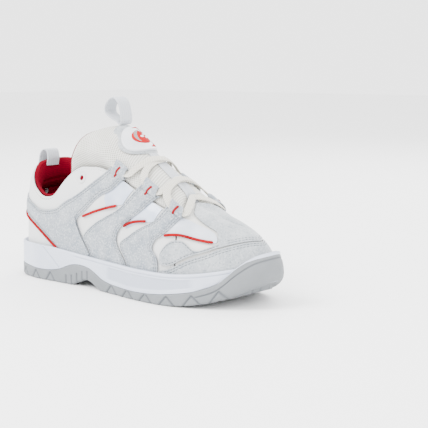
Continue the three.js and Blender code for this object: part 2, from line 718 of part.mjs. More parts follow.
for (const [label, side] of SIDES) {
  for (const [name, [low, high]] of Object.entries(PANELS)) {
    add(`${name}_${label}`, between(edge(low, side), edge(high, side), 9, 3, PANEL_OUT, PANEL_IN), "gloss_film");
  }
  for (const [name, path] of Object.entries(CORDS)) {
    add(`${name}_${label}`, cordOn(edge(path, side), CORD_WIDTH, 9, SUEDE_OUT, SUEDE_IN), "red_piping");
  }
  const ring = plate(EYELET[0] * side, EYELET[1], 4.6, 4.6, 14, 2, 0.56, SUEDE_IN, PANEL_IN);
  add(`eyelet_ring_${label}`, ring, "white_leather");
}

// ---- tongue: a padded saddle under the lace, hinged where it meets the vamp ----
const TONGUE_TOP = 0.338;
const TONGUE_ROOT = 0.765;
const WING_DEPTH = -10.5;
const tongueSide = table([[0.338, 0.45], [0.43, 0.43], [0.55, 0.45], [0.68, 0.55], [0.772, 0.76]]);
const fold = (w) => 1 - Math.abs(1 - w);
function tongueOuter(t, w) {
  const edgeW = t < 0.72 ? topLine(t) : 0.55;
  const rise = smooth(fold(w), edgeW + 0.05, edgeW + 0.165);
  const crown = smooth(fold(w), 0.7, 0.85);
  return lerp(WING_DEPTH, lerp(-3.2, -1.8, crown), rise);
}
const tongueAt = (u, v) => {
  const t = lerp(TONGUE_TOP, TONGUE_ROOT, u);
  const side = tongueSide(t);
  return [t, lerp(side, 2 - side, v)];
};
const tongueDepth = (u, v) => {
  const [t, w] = tongueAt(u, v);
  const outer = tongueOuter(t, w);
  const plump = 0.3 + 0.7 * Math.min(1, 4 * Math.sin(Math.PI * v)) ** 0.5;
  return [outer, outer - TONGUE_PAD * plump * (1 - 0.55 * smooth(u, 0.6, 1))];
};
add("tongue", sheet(14, 12, tongueAt, tongueDepth), "tongue_mesh");
const backingDepth = (u, v) => {
  const inner = tongueDepth(u, v)[1] - LAYER_GAP;
  return [inner, inner - 0.8];
};
add("tongue_lining", sheet(14, 12, tongueAt, backingDepth), "red_lining");

const crownOut = -1.8;
const BADGE_T = 0.458;
add("tongue_patch", plate(0.447, 1, 26, 18, 20, 4, 0, crownOut + 2 * LAYER_GAP + 0.7, crownOut + 2 * LAYER_GAP), "grey_suede");
const badgeLow = crownOut + 4 * LAYER_GAP + 0.8;
add(
  "tongue_badge",
  plate(BADGE_T, 1, BADGE_DIAMETER / 2, BADGE_DIAMETER / 2, 20, 4, 0, badgeLow + 1.6, badgeLow),
  "badge_plastic"
);
const stripAt = (u, v) => [lerp(0.575, 0.755, u), lerp(0.93, 1.07, v)];
add("tongue_webbing", sheet(8, 3, stripAt, even(crownOut + LAYER_GAP + 0.6, crownOut + LAYER_GAP)), "webbing");

// A band of webbing bent along a profile in the X-Z plane, joined end to end when closed.
function bandAlong(profile, thickness, width, closed) {
  const curve = new THREE.CatmullRomCurve3(profile.map(([x, z]) => new THREE.Vector3(x, 0, z)), closed);
  const steps = 24;
  const points = [];
  const faces = [];
  const rows = closed ? steps : steps + 1;
  for (let i = 0; i < rows; i++) {
    const p = curve.getPointAt(i / steps);
    const ahead = curve.getTangentAt(i / steps);
    for (const [side, y] of [[1, 1], [1, -1], [-1, -1], [-1, 1]]) {
      const reach = (side * thickness) / 2;
      points.push(new THREE.Vector3(p.x - ahead.z * reach, (y * width) / 2, p.z + ahead.x * reach));
    }
  }
  const id = (i, j) => (i % rows) * 4 + (j % 4);
  for (let i = 0; i < steps; i++) {
    for (let j = 0; j < 4; j++) quad(faces, id(i, j), id(i + 1, j), id(i + 1, j + 1), id(i, j + 1));
  }
  if (!closed) {
    quad(faces, id(0, 0), id(0, 1), id(0, 2), id(0, 3));
    quad(faces, id(steps, 3), id(steps, 2), id(steps, 1), id(steps, 0));
  }
  return body(points, faces);
}

// The tongue's loop, drawn about the point where it is stitched; it flops about its lowest turn.
const tongueTip = lift(0.355, 1, crownOut);
const LOOP_PROFILE = [
  [2.2, 4.8], [1.6, 13], [-2, 22.5], [-9, 26], [-17, 20], [-18, 12.5], [-11, 7.4], [-3.2, 4.2], [-0.2, 2],
];
const loopPoints = LOOP_PROFILE.map(([x, z]) => [tongueTip.x + x, tongueTip.z + z]);
add("tongue_pull_loop", bandAlong(loopPoints, WEBBING, WEBBING_WIDTH, true), "webbing");

// The heel loop arches over the collar, from the backstay to the padding.
const heelTop = lift(0, topLine(0), 0);
const onHeel = (w, depth) => {
  const p = lift(0, w, depth);
  return [p.x, p.z];
};
const outerLeg = WEBBING / 2 + SUEDE_OUT + LAYER_GAP + 0.1;
// The flat band's edges stand off the hollow inside of the heel by the bow of its width.
const heelRadius = 0.19 * SHOE_WIDTH;
const bow = (WEBBING_WIDTH / 2) ** 2 / (2 * heelRadius);
const innerLeg = LINING_IN - 0.8 * COLLAR_PAD + LINING - WEBBING / 2 - bow;
const HEEL_PROFILE = [
  onHeel(0.31, outerLeg), onHeel(0.36, outerLeg), onHeel(topLine(0) - 0.01, outerLeg),
  [heelTop.x + 0.4, heelTop.z + 5.5], [heelTop.x + 4, heelTop.z + 10], [heelTop.x + 9.5, heelTop.z + 10.5],
  [heelTop.x + 12.5, heelTop.z + 4], onHeel(0.405, innerLeg), onHeel(0.37, innerLeg - 0.8),
];
add("heel_pull_loop", bandAlong(HEEL_PROFILE, WEBBING, WEBBING_WIDTH, false), "webbing");

// ---- red bar tacks that hold the folded strap ends ----
const TACKS = {
  heel_strap: [[0.462, 0.44], [0.475, 0.485]],
  middle_strap: [[0.583, 0.485], [0.597, 0.53]],
  front_strap: [[0.692, 0.475], [0.704, 0.525]],
};
const TACK_WIDTH = 1.8;
const TACK_HEIGHT = 1;
const TACK_SEAT = 0.45;
for (const [label, side] of SIDES) {
  for (const [strap, path] of Object.entries(TACKS)) {
    add(`${strap}_tack_${label}`, cordOn(edge(path, side), TACK_WIDTH, 4, TACK_HEIGHT, TACK_SEAT), "red_piping");
  }
}

// ---- lace: one flat cord through the six loops, both ends tucked in beside the tongue ----
// Route points [t, w, depth] with w counted on over the ridge; the strands of the first half
// lie on top where two cross, and the second half is the first one mirrored.
const START = [
  [0.426, 0.42, -8.6], [0.429, 0.465, -8.65], [0.432, 0.515, -8.2], [0.438, 0.55, -3.1],
  [0.451, 0.557, 0.1],
];
const throughLoop = (index, far) => {
  const [t, w, reach] = LOOPS[index];
  return [-1.15, 0, 1.15].map((share) => [t + share * reach, far ? 2 - w : w, LOOP_DEPTH]);
};
const CROSS_HIGH = 2.1;
const CROSS_LOW = 0.5;
const LACE = [
  ...START,
  ...throughLoop(0, false),
  [0.514, 0.572, 0.3], [0.534, 0.68, 0.8], [0.553, 0.85, 1.6], [0.564, 1, CROSS_HIGH],
  [0.564, 1.14, 1.5], [0.562, 1.26, 0.8], [0.566, 1.35, 0.4],
  ...throughLoop(1, true),
  [0.637, 1.372, 0.3], [0.655, 1.27, 0.6], [0.664, 1.13, 1.5], [0.667, 1, CROSS_HIGH],
  [0.665, 0.88, 1.5], [0.661, 0.75, 0.6], [0.664, 0.655, 0.4],
  ...throughLoop(2, false),
  [0.742, 0.64, 0.4], [0.747, 0.75, 0.4], [0.746, 0.88, 0.4], [0.745, 1, CROSS_LOW],
];
const mirrored = LACE.slice(0, -1).reverse().map(([t, w, depth]) => [t, 2 - w, depth]);
const lower = mirrored.map(([t, w, depth]) => [t, w, Math.min(depth, CROSS_LOW)]);

function flatCord(route, width, thickness, steps) {
  const line = new THREE.CatmullRomCurve3(route.map(([t, w, d]) => lift(t, w, d)));
  const guide = new THREE.CatmullRomCurve3(route.map(([t, w]) => skinNormal(t, w)));
  const section = [[-0.5, 0], [-0.4, 0.5], [0.4, 0.5], [0.5, 0], [0.4, -0.5], [-0.4, -0.5]];
  const points = [];
  const faces = [];
  for (let i = 0; i <= steps; i++) {
    const share = line.getUtoTmapping(i / steps);
    const p = line.getPoint(share);
    const ahead = line.getTangent(share);
    const up = guide.getPoint(share);
    const side = new THREE.Vector3().crossVectors(ahead, up).normalize();
    const rise = new THREE.Vector3().crossVectors(side, ahead).normalize();
    for (const [a, b] of section) {
      points.push(p.clone().addScaledVector(side, a * width).addScaledVector(rise, b * thickness));
    }
  }
  const n = section.length;
  const id = (i, j) => i * n + (j % n);
  for (let i = 0; i < steps; i++) {
    for (let j = 0; j < n; j++) quad(faces, id(i, j), id(i, j + 1), id(i + 1, j + 1), id(i + 1, j));
  }
  for (let j = 1; j < n - 1; j++) {
    faces.push([id(0, 0), id(0, j + 1), id(0, j)], [id(steps, 0), id(steps, j), id(steps, j + 1)]);
  }
  return body(points, faces);
}
add("lace", flatCord([...LACE, ...lower], LACE_WIDTH, LACE_THICKNESS, 90), "lace_cotton");

// ---- origin: middle of the footprint, on the floor ----
const box = new THREE.Box3().setFromObject(shoe);
shoe.position.set(-(box.min.x + box.max.x) / 2, -(box.min.y + box.max.y) / 2, -box.min.z);

export default shoe;
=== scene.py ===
# %% [markdown]
# # A padded lace-up bowling shoe
# The shoe is built round its last, the wooden foot that a shoemaker pulls the upper over.
# Every leather, suede and textile piece is a stretch of that one surface, a little above or below it,
# so the pieces lie on each other as they do on the real shoe. The sole is a rubber cup under it.
# The CAD model gives the places, the sizes and the joints, and it is loaded first as a fixed frame.

# %% Load the frame
import math
import bmesh
import bpy
import numpy as np
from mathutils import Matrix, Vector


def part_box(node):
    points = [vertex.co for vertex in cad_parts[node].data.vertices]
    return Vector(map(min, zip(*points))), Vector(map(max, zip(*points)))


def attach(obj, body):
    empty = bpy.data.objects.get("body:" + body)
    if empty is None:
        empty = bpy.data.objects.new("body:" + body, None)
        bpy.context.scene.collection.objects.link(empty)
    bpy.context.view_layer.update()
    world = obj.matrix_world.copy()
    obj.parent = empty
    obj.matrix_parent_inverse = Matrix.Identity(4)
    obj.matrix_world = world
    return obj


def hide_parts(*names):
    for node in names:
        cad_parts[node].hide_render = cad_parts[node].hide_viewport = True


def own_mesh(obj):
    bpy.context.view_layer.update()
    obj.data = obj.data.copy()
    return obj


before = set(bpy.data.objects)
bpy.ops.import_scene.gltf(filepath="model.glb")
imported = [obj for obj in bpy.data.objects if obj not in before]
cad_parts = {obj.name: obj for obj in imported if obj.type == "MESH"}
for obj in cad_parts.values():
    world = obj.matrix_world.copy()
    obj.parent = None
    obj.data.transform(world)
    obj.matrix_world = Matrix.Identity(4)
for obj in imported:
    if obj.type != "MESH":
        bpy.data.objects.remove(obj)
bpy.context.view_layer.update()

# %% [markdown]
# ## The camera
# It stands low and to the outer front of the shoe, at about a metre. A long lens keeps the toe from
# looking larger than the heel.

# %% Camera
LENS, SENSOR = 94.31, 36  # mm
CAMERA_AT = (0.70817, -0.73292, 0.20248)  # metres
CAMERA_DOWN, CAMERA_TURN = 7.56, 40.49  # degrees
camera_data = bpy.data.cameras.new("camera")
camera_data.lens = LENS
camera_data.sensor_width = SENSOR
camera = bpy.data.objects.new("camera", camera_data)
camera.location = CAMERA_AT
camera.rotation_euler = (math.radians(90 - CAMERA_DOWN), 0, math.radians(CAMERA_TURN))
bpy.context.scene.collection.objects.link(camera)
bpy.context.scene.camera = camera

# %% [markdown]
# ## Smooth curves
# A shoe has no straight lines, so every size that changes along it is a smooth curve through a few
# chosen values. Two helpers make them: a table, whose value changes with one number, and a spline,
# which runs through points on a plane or in space and is walked by its length.

# %% Curves
def table(rows):
    """Cubic curve through rows of (x, value); each slope is the centred difference of its neighbours."""
    x, y = np.array(rows, float).T
    step = np.diff(x)
    rise = np.diff(y) / step
    middle = (rise[:-1] * step[1:] + rise[1:] * step[:-1]) / (step[1:] + step[:-1])
    slope = np.concatenate([rise[:1], middle, rise[-1:]])

    def value(at):
        at = np.clip(at, x[0], x[-1])
        i = np.clip(np.searchsorted(x, at, side="right") - 1, 0, len(step) - 1)
        s = (at - x[i]) / step[i]
        blend = s * s * (3 - 2 * s)
        lean = s * (1 - s) ** 2 * slope[i] - s * s * (1 - s) * slope[i + 1]
        return y[i] + (y[i + 1] - y[i]) * blend + step[i] * lean

    return value


def lerp(a, b, share):
    return a + (b - a) * share


def smooth(x, low, high):
    """0 below low, 1 above high, and an S-shaped rise between them."""
    s = np.clip((x - low) / (high - low), 0, 1)
    return s * s * (3 - 2 * s)


def spline(points, shares, closed=False):
    """Cubic spans through the points, each end slope half the chord of its neighbours, walked by length."""
    p = np.asarray(points, float)
    ring = np.array([p[-1], *p, p[0], p[1]] if closed else [p[0], *p, p[-1]])
    spans = len(p) if closed else len(p) - 1
    fine = np.linspace(0, spans, spans * 30 + 1)
    i = np.minimum(fine.astype(int), spans - 1)
    s = (fine - i)[:, None]
    start, end = (ring[i + 2] - ring[i]) / 2, (ring[i + 3] - ring[i + 1]) / 2
    line = (2 * s**3 - 3 * s**2 + 1) * ring[i + 1] + (3 * s**2 - 2 * s**3) * ring[i + 2]
    line += (s**3 - 2 * s**2 + s) * start + (s**3 - s**2) * end
    run = np.concatenate([[0], np.cumsum(np.linalg.norm(np.diff(line, axis=0), axis=1))])
    at = np.asarray(shares) * run[-1]
    return np.stack([np.interp(at, run, line[:, c]) for c in range(p.shape[1])], -1)


def unit(v):
    return v / np.maximum(np.linalg.norm(v, axis=-1, keepdims=True), 1e-9)


def crowded(count):
    """Shares from 0 to 1 that crowd towards both ends, half a cosine wave, so rolled edges are round."""
    return (1 - np.cos(np.linspace(0, np.pi, count))) / 2


# %% [markdown]
# ## The last
# The outline of the sole is two smooth curves, one for each side, and q walks round it: 0 at the
# heel, up to 1 along the outer side to the toe, and down to -1 along the inner side. From each point
# of the outline an arc rises to the ridge over the foot; w is the share of that arc, and past 1 it
# goes down the other side. The arc is a superellipse, fuller than a circle at the ankle.

# %% The outline of the sole, in millimetres
OUTER = [
    (0, 0), (2.5, -19), (13, -32.5), (35, -40.5), (70, -42), (110, -43), (150, -48.5),
    (190, -54.5), (217, -55), (245, -48.5), (268, -38), (286, -24.5), (296.5, -9), (299.5, 4),
]
INNER = [
    (0, 0), (2.5, 19), (13, 32.5), (35, 39.5), (70, 39), (110, 37.5), (140, 39.5),
    (170, 45), (200, 50), (225, 51), (250, 46.5), (273, 36.5), (290, 22.5), (299.5, 4),
]
STEP = 0.004  # how far apart two points are taken for a slope, in q or w


def side_curve(points, other):
    """x and y of one side by its share of length; the other side's next point keeps both ends smooth."""
    rows = np.array([other[1], *points, other[-2]], float)
    run = np.concatenate([[0], np.cumsum(np.linalg.norm(np.diff(rows, axis=0), axis=1))])
    share = (run - run[1]) / (run[-2] - run[1])
    x, y = table(np.c_[share, rows[:, 0]]), table(np.c_[share, rows[:, 1]])
    return lambda t: np.stack([x(t), y(t)], -1)


outer_side, inner_side = side_curve(OUTER, INNER), side_curve(INNER, OUTER)


def turn(q):
    """q brought into the range above -1 and up to 1."""
    return q - 2 * np.ceil((q - 1) / 2)


def share_of(q):
    """The share of a side's length at q, from 0 at the heel to 1 at the toe."""
    return np.abs(turn(q))


def rim(q):
    r = turn(q)
    return np.where((r >= 0)[..., None], outer_side(np.abs(r)), inner_side(np.abs(r)))


def outline(q, inset=0.0):
    """The outline at q, moved inwards square to itself by inset."""
    q = np.asarray(q, float)
    ahead = unit(rim(q + STEP) - rim(q - STEP))
    return rim(q) + np.stack([-ahead[..., 1], ahead[..., 0]], -1) * np.asarray(inset, float)[..., None]


around = rim(np.linspace(-1, 1, 2001))
sole_low, sole_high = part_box("outsole")
MM = 0.001
SHIFT = np.array([
    sole_low.x - around[:, 0].min() * MM,
    (sole_low.y + sole_high.y) / 2 - (around[:, 1].min() + around[:, 1].max()) / 2 * MM,
    0,
])
print("the last's heel lies at x, y =", SHIFT[:2].round(4))

# %% Heights along the shoe
setback = table([(0, 2.2), (0.12, 2.6), (0.3, 3.4), (0.5, 4.6), (0.75, 5.6), (1, 5.6)])
spine = table([
    (0, 55), (0.1, 60), (0.2, 82), (0.3, 110), (0.4, 131.5), (0.5, 153), (0.6, 175.5),
    (0.7, 197), (0.8, 218.5), (0.9, 241), (1, 252),
])
ridge = table([
    (55, 152), (100, 151), (118, 149.5), (131, 146), (145, 136), (160, 123.5), (177, 110.5),
    (195, 97), (207, 86.5), (218, 79), (235, 73), (252, 66.5),
])
power = table([(55, 2.6), (110, 2.4), (180, 2.2), (215, 2.05), (252, 1.9)])
board_table = table([(0, 22), (60, 21), (150, 17), (215, 16), (300, 16)])
fox_top = table([
    (0, 13), (76, 13.5), (92, 19), (116, 19), (140, 10.5), (165, 8), (205, 8.5), (228, 11),
    (252, 16), (266, 22), (281, 36), (291, 44), (300, 48),
])
cup_table = table([(0, 34), (60, 33), (110, 29.5), (160, 28), (300, 28)])


def spring(x):
    """The toe lifts 20 mm off the floor over the last 85 mm, as a square curve."""
    return 20 * np.clip((x - 215) / 85, 0, 1) ** 2


def under(x):
    """Underside of the sole: toe spring, a bevelled heel and a lifted waist."""
    bevel = 4 * np.clip((20 - x) / 20, 0, 1) ** 2
    return spring(x) + bevel + 7 * np.sin(np.pi * np.clip((x - 88) / 50, 0, 1)) ** 2


def board_top(x):
    return board_table(x) + 0.75 * spring(x)


def cup_top(x):
    return np.maximum(cup_table(x) + 0.6 * spring(x), fox_top(x) - 1)


# %% The surface of the last
def skin(q, w):
    """Point of the last: the outline's point carried along a superellipse arc to the ridge."""
    q, w = np.broadcast_arrays(np.asarray(q, float), np.asarray(w, float))
    q, w = np.where(w > 1, -q, q), np.where(w > 1, 2 - w, w)
    t = share_of(q)
    foot = outline(q, setback(t))
    middle = spine(t)
    bend = power(middle)
    cos, sin = np.maximum(np.cos(w * np.pi / 2), 0), np.maximum(np.sin(w * np.pi / 2), 0)
    reach = (cos**bend + sin**bend) ** (-1 / bend)
    ridge_y = 4 * np.clip((t - 0.8) / 0.2, 0, 1) ** 2
    base = board_top(foot[..., 0])
    return np.stack([
        lerp(middle, foot[..., 0], reach * cos),
        lerp(ridge_y, foot[..., 1], reach * cos),
        lerp(base, ridge(middle), reach * sin),
    ], -1)


def outward(q, w):
    """Unit normal of the last, the cross product of its two slopes."""
    q, w = np.broadcast_arrays(np.asarray(q, float), np.asarray(w, float))
    low = np.maximum(w, STEP)

    def cross(level):
        along = skin(q + STEP, level) - skin(q - STEP, level)
        return np.cross(along, skin(q, level + STEP) - skin(q, level - STEP))

    normal = cross(low)
    weak = np.linalg.norm(normal, axis=-1, keepdims=True) < 1e-5
    normal = unit(np.where(weak, cross(low - 0.04), normal))
    upside_down = (normal[..., 2:] < 0) & (w > 0.6)[..., None] & (share_of(q) > 0.7)[..., None]
    return np.where(upside_down, -normal, normal)


def lift(q, w, depth):
    return skin(q, w) + outward(q, w) * np.asarray(depth, float)[..., None]


print("ridge over the ankle at", skin(0.3, 1.0).round(1))

# %% [markdown]
# ## From numbers to meshes
# A piece is a grid of points worked out with numpy: rows along it, columns across it. A sheet of
# leather has an outer grid, an inner grid and four narrow walls, and its cut edges are rolled over a
# quarter circle, because a sharp edge catches no light and looks like card. The running lengths along
# the grid are kept as its UV map in millimetres, so that a weave follows the piece at its true scale.

# %% Mesh helpers
def grid_faces(rows, cols, start=0, wrap=False):
    """Quads of a grid whose points are numbered row by row; wrap joins the last column to the first."""
    i = np.arange(rows - 1)[:, None]
    j = np.arange(cols if wrap else cols - 1)[None, :]
    k = (j + 1) % cols
    faces = np.stack([i * cols + j, (i + 1) * cols + j, (i + 1) * cols + k, i * cols + k], -1)
    return faces.reshape(-1, 4) + start


def lengths(points):
    """Running lengths in mm along both directions of a grid, measured from its middle column."""
    along, across = np.zeros(points.shape[:2]), np.zeros(points.shape[:2])
    along[1:] = np.cumsum(np.linalg.norm(np.diff(points, axis=0), axis=-1), axis=0)
    across[:, 1:] = np.cumsum(np.linalg.norm(np.diff(points, axis=1), axis=-1), axis=1)
    return along, across


def make_piece(name, points, faces, uv=None, weld=True):
    """A smooth mesh object from points in mm of the last, welded and with its faces pointing out."""
    mesh = bpy.data.meshes.new(name)
    mesh.from_pydata((points * MM + SHIFT).tolist(), [], [list(f) for f in faces])
    if uv is not None:
        corners = np.zeros(len(mesh.loops), np.int32)
        mesh.loops.foreach_get("vertex_index", corners)
        mesh.uv_layers.new(name="surface").data.foreach_set("uv", uv[corners].ravel().astype(np.float32))
    if weld:
        work = bmesh.new()
        work.from_mesh(mesh)
        bmesh.ops.remove_doubles(work, verts=work.verts, dist=2e-6)
        bmesh.ops.dissolve_degenerate(work, edges=work.edges, dist=1e-7)
        bmesh.ops.recalc_face_normals(work, faces=work.faces)
        work.to_mesh(mesh)
        work.free()
    mesh.polygons.foreach_set("use_smooth", np.ones(len(mesh.polygons), bool))
    piece = bpy.data.objects.new(name, mesh)
    bpy.context.scene.collection.objects.link(piece)
    return piece


def shell(name, top, low, zipped=False):
    """A closed sheet from its outer and inner grids, with walls between their rims."""
    rows, cols = top.shape[:2]
    half = rows * cols
    ids = np.arange(half).reshape(rows, cols)
    walls = []
    rims = [ids[0], ids[-1], ids[:, 0]] + ([] if zipped else [ids[:, -1]])
    for edge_ids in rims:
        a, b = edge_ids[:-1], edge_ids[1:]
        walls.append(np.stack([a, b, b + half, a + half], -1))
    faces = np.concatenate([grid_faces(rows, cols), grid_faces(rows, cols, half)[:, ::-1], *walls])
    along, across = lengths(top)
    uv = np.stack([across - across[:, -1:] / 2, along], -1).reshape(-1, 2)
    points = np.concatenate([top.reshape(-1, 3), low.reshape(-1, 3)])
    return make_piece(name, points, faces, np.tile(uv, (2, 1)))


def roll(distance, radius):
    """How far a rolled edge drops at a distance from the rim: a quarter circle of the given radius."""
    near = np.clip(distance, 0, radius)
    return radius - np.sqrt(np.maximum(radius**2 - (radius - near) ** 2, 0))


def rim_distance(points, zipped=False):
    along, across = lengths(points)
    sides = [along, along[-1:] - along, across]
    return np.min(sides + ([] if zipped else [across[:, -1:] - across]), axis=0)


def laid(name, q, w, depth, thickness, radius=0.5, puff=0.0, seams=(), extra=0.0, zipped=False):
    """A sheet laid on the last: rolled rim, a slight crown of height puff, and a dent under each seam.

    seams are the distances of sewn rows from the rim in mm; extra is added to the outer depth.
    """
    base = skin(q, w)
    distance = rim_distance(base, zipped)
    top = depth - roll(distance, radius) + puff * (1 - np.exp(-((distance / 7) ** 2))) + extra
    for seam in seams:
        top = top - 0.4 * np.exp(-(((distance - seam) / 0.7) ** 2))
    normal = outward(q, w)
    low = np.full_like(distance, depth - thickness) + 0.35 * roll(distance, radius)
    return shell(name, base + normal * top[..., None], base + normal * low[..., None], zipped)


def edge(points, side=1):
    """A drawn edge on the last through (t, w) points of the outer side; returns q and w at shares of it."""
    stretch = 0.34  # one unit of w is about a third of one unit of t in length
    drawn = np.array(points, float) * (1, stretch)

    def at(shares):
        line = spline(drawn, shares)
        return line[:, 0] * side, line[:, 1] / stretch

    return at


def between(first, second, rows, cols):
    """Grids of q and w stretched between two edges, crowded towards their rims."""
    u, v = crowded(rows), crowded(cols)[None, :]
    (qa, wa), (qb, wb) = first(u), second(u)
    return lerp(qa[:, None], qb[:, None], v), lerp(wa[:, None], wb[:, None], v)


# %% [markdown]
# ## Finishes
# Colours are the sRGB values that a painter would pick, turned to linear once. Every material reads
# either Object coordinates, in metres, or the piece's own UV map, in millimetres; the outsole's and
# midsole's UV map holds painted groove shade instead. One helper adds a node with its settings and its
# links, so that a material reads as a short recipe.

# %% Node helpers
def linear(hex_colour):
    """sRGB hex to linear RGBA: the usual 2.4 power above the short straight start."""
    s = np.array([int(hex_colour[i:i + 2], 16) for i in (0, 2, 4)]) / 255
    return (*np.where(s <= 0.04045, s / 12.92, ((s + 0.055) / 1.055) ** 2.4), 1)


def add(tree, kind, inputs=None, **settings):
    made = tree.nodes.new("ShaderNode" + kind)
    for key, value in settings.items():
        setattr(made, key, value)
    for socket, value in (inputs or {}).items():
        if isinstance(value, bpy.types.NodeSocket):
            tree.links.new(value, made.inputs[socket])
        else:
            made.inputs[socket].default_value = value
    return made


def finish(name, roughness, ior=1.5, **shader):
    """A new material; returns it with its node tree and its shader."""
    material = bpy.data.materials.new(name)
    material.use_nodes = True
    tree = material.node_tree
    bsdf = tree.nodes["Principled BSDF"]
    bsdf.inputs["Roughness"].default_value = roughness
    bsdf.inputs["IOR"].default_value = ior
    for socket, value in shader.items():
        bsdf.inputs[socket.replace("_", " ")].default_value = value
    return material, tree, bsdf


def place_of(tree, output="Object"):
    return tree.nodes.new("ShaderNodeTexCoord").outputs[output]


def mix(tree, share, first, second, blend="MIX"):
    return add(tree, "MixRGB", {0: share, 1: first, 2: second}, blend_type=blend).outputs[0]


def noise(tree, size_mm, at, detail=3.0, rough=0.55):
    """Noise whose lumps are about size_mm wide, read on Object coordinates in metres."""
    scale = 1000 / size_mm
    inputs = {"Vector": at, "Scale": scale, "Detail": detail, "Roughness": rough}
    return add(tree, "TexNoise", inputs).outputs[0]


def steps(tree, value, low, high):
    """value stretched so that low becomes 0 and high becomes 1."""
    return add(tree, "MapRange", {0: value, 1: low, 2: high}).outputs[0]


def bump(tree, bsdf, height, depth_mm, strength=1.0):
    made = add(tree, "Bump", {"Height": height, "Distance": depth_mm * MM, "Strength": strength})
    tree.links.new(made.outputs[0], bsdf.inputs["Normal"])


def calc(tree, operation, a, b=0.0):
    return add(tree, "Math", {0: a, 1: b}, operation=operation).outputs[0]


PALE_FIBRE, DARK_PIT = "c6c9cb", "5a636c"


# %% Suede: split leather with a brushed nap, no gloss; patches of nap lie light or dark
def suede(name, light, shade, speck=0.5):
    material, tree, bsdf = finish(name, 0.95, Sheen_Weight=0.25, Sheen_Roughness=0.6)
    at = place_of(tree)
    nap = steps(tree, noise(tree, 14, at, 4), 0.35, 0.68)
    base = mix(tree, nap, linear(shade), linear(light))
    grain = steps(tree, noise(tree, 1.6, at, 2), 0.5, 0.66)
    base = mix(tree, calc(tree, "MULTIPLY", grain, speck), base, linear(PALE_FIBRE))
    pits = steps(tree, noise(tree, 1.5, at, 1), 0.58, 0.7)
    base = mix(tree, calc(tree, "MULTIPLY", pits, 0.55), base, linear(DARK_PIT))
    tree.links.new(base, bsdf.inputs["Base Color"])
    bump(tree, bsdf, noise(tree, 0.7, at, 3), 0.25, 0.55)
    return material


# %% Smooth and coated leather, film, rubber
def full_grain(name, tone, roughness=0.5, grain_mm=1.3):
    """Finished full-grain leather: fine pebbles with creases between them, half gloss."""
    material, tree, bsdf = finish(name, roughness, Coat_Weight=0.08, Coat_Roughness=0.4)
    at = place_of(tree)
    cloud = steps(tree, noise(tree, 25, at, 3), 0.3, 0.7)
    tree.links.new(mix(tree, cloud, linear(tone), linear("d0d0ce")), bsdf.inputs["Base Color"])
    pebbles = add(tree, "TexVoronoi", {"Vector": at, "Scale": 1000 / grain_mm}, feature="SMOOTH_F1")
    bump(tree, bsdf, pebbles.outputs[0], 0.12, 0.25)
    return material


def gloss(name, tone, shade, roughness, coat=0.35, shine=0.5):
    """Plastic film, cord or moulding: glossy, faintly uneven; less coat and shine for a satin red."""
    material, tree, bsdf = finish(
        name, roughness, Coat_Weight=coat, Coat_Roughness=0.12, Specular_IOR_Level=shine
    )
    at = place_of(tree)
    cloud = steps(tree, noise(tree, 18, at, 2), 0.35, 0.65)
    tree.links.new(mix(tree, cloud, linear(shade), linear(tone)), bsdf.inputs["Base Color"])
    bump(tree, bsdf, noise(tree, 9, at, 2), 0.5, 0.25)
    return material


def rubber(name, tone, shade, roughness, dust_and_groove_shade="8d9296"):
    """Moulded rubber: even colour with faint flow clouds, fine dust specks, a matt mould texture and painted
    shade in the grooves.
    """
    material, tree, bsdf = finish(name, roughness, ior=1.52)
    at = place_of(tree)
    cloud = steps(tree, noise(tree, 30, at, 4), 0.3, 0.7)
    base = mix(tree, cloud, linear(shade), linear(tone))
    dust = steps(tree, noise(tree, 0.9, at, 2), 0.6, 0.8)
    base = mix(tree, calc(tree, "MULTIPLY", dust, 0.12), base, linear(dust_and_groove_shade))
    # painted shade: the UV map's first value darkens the grooves towards the last colour
    groove_shade = add(tree, "SeparateXYZ", {0: place_of(tree, "UV")}).outputs[0]
    base = mix(tree, calc(tree, "MULTIPLY", groove_shade, 0.8), base, linear(dust_and_groove_shade))
    tree.links.new(base, bsdf.inputs["Base Color"])
    bump(tree, bsdf, noise(tree, 0.8, at, 2), 0.08, 0.4)
    return material


# %% Textiles: the pattern follows each piece's own UV map, which is in millimetres
def knit(name, tone, shade, rib_mm, row_mm, sheen=0.0):
    """Ribbed knit: rounded ribs rib_mm apart, crossed by finer courses row_mm apart."""
    material, tree, bsdf = finish(name, 0.95, Sheen_Weight=sheen, Specular_IOR_Level=0.05)
    flat = add(tree, "SeparateXYZ", {0: place_of(tree, "UV")})
    rib = calc(tree, "SINE", calc(tree, "MULTIPLY", flat.outputs[0], 2 * math.pi / rib_mm))
    row = calc(tree, "SINE", calc(tree, "MULTIPLY", flat.outputs[1], 2 * math.pi / row_mm))
    raised = calc(tree, "ADD", calc(tree, "ADD", rib, 1.0), calc(tree, "ADD", row, 1.0))
    loops = calc(tree, "MULTIPLY", raised, 0.25)
    fluff = noise(tree, 3, place_of(tree), 3)
    base = mix(tree, loops, linear(shade), linear(tone))
    base = mix(tree, calc(tree, "MULTIPLY", fluff, 0.35), base, linear(shade))
    tree.links.new(base, bsdf.inputs["Base Color"])
    bump(tree, bsdf, loops, 0.4, 0.5)
    return material


def spacer_mesh(name, tone, hole, pitch_mm):
    """Knitted spacer mesh: staggered holes pitch_mm apart over a paler ground."""
    material, tree, bsdf = finish(name, 0.85, Sheen_Weight=0.2)
    turned = add(tree, "Mapping", {"Vector": place_of(tree, "UV"), "Rotation": (0, 0, math.pi / 4)})
    cells = add(tree, "TexVoronoi", {"Vector": turned.outputs[0], "Scale": 1 / pitch_mm, "Randomness": 0.0})
    ground = steps(tree, cells.outputs[0], 0.16, 0.42)
    soft = steps(tree, noise(tree, 12, place_of(tree), 3), 0.3, 0.7)
    pale = mix(tree, soft, linear(tone), linear("d2d1cb"))
    tree.links.new(mix(tree, ground, linear(hole), pale), bsdf.inputs["Base Color"])
    bump(tree, bsdf, ground, 0.5, 0.6)
    return material


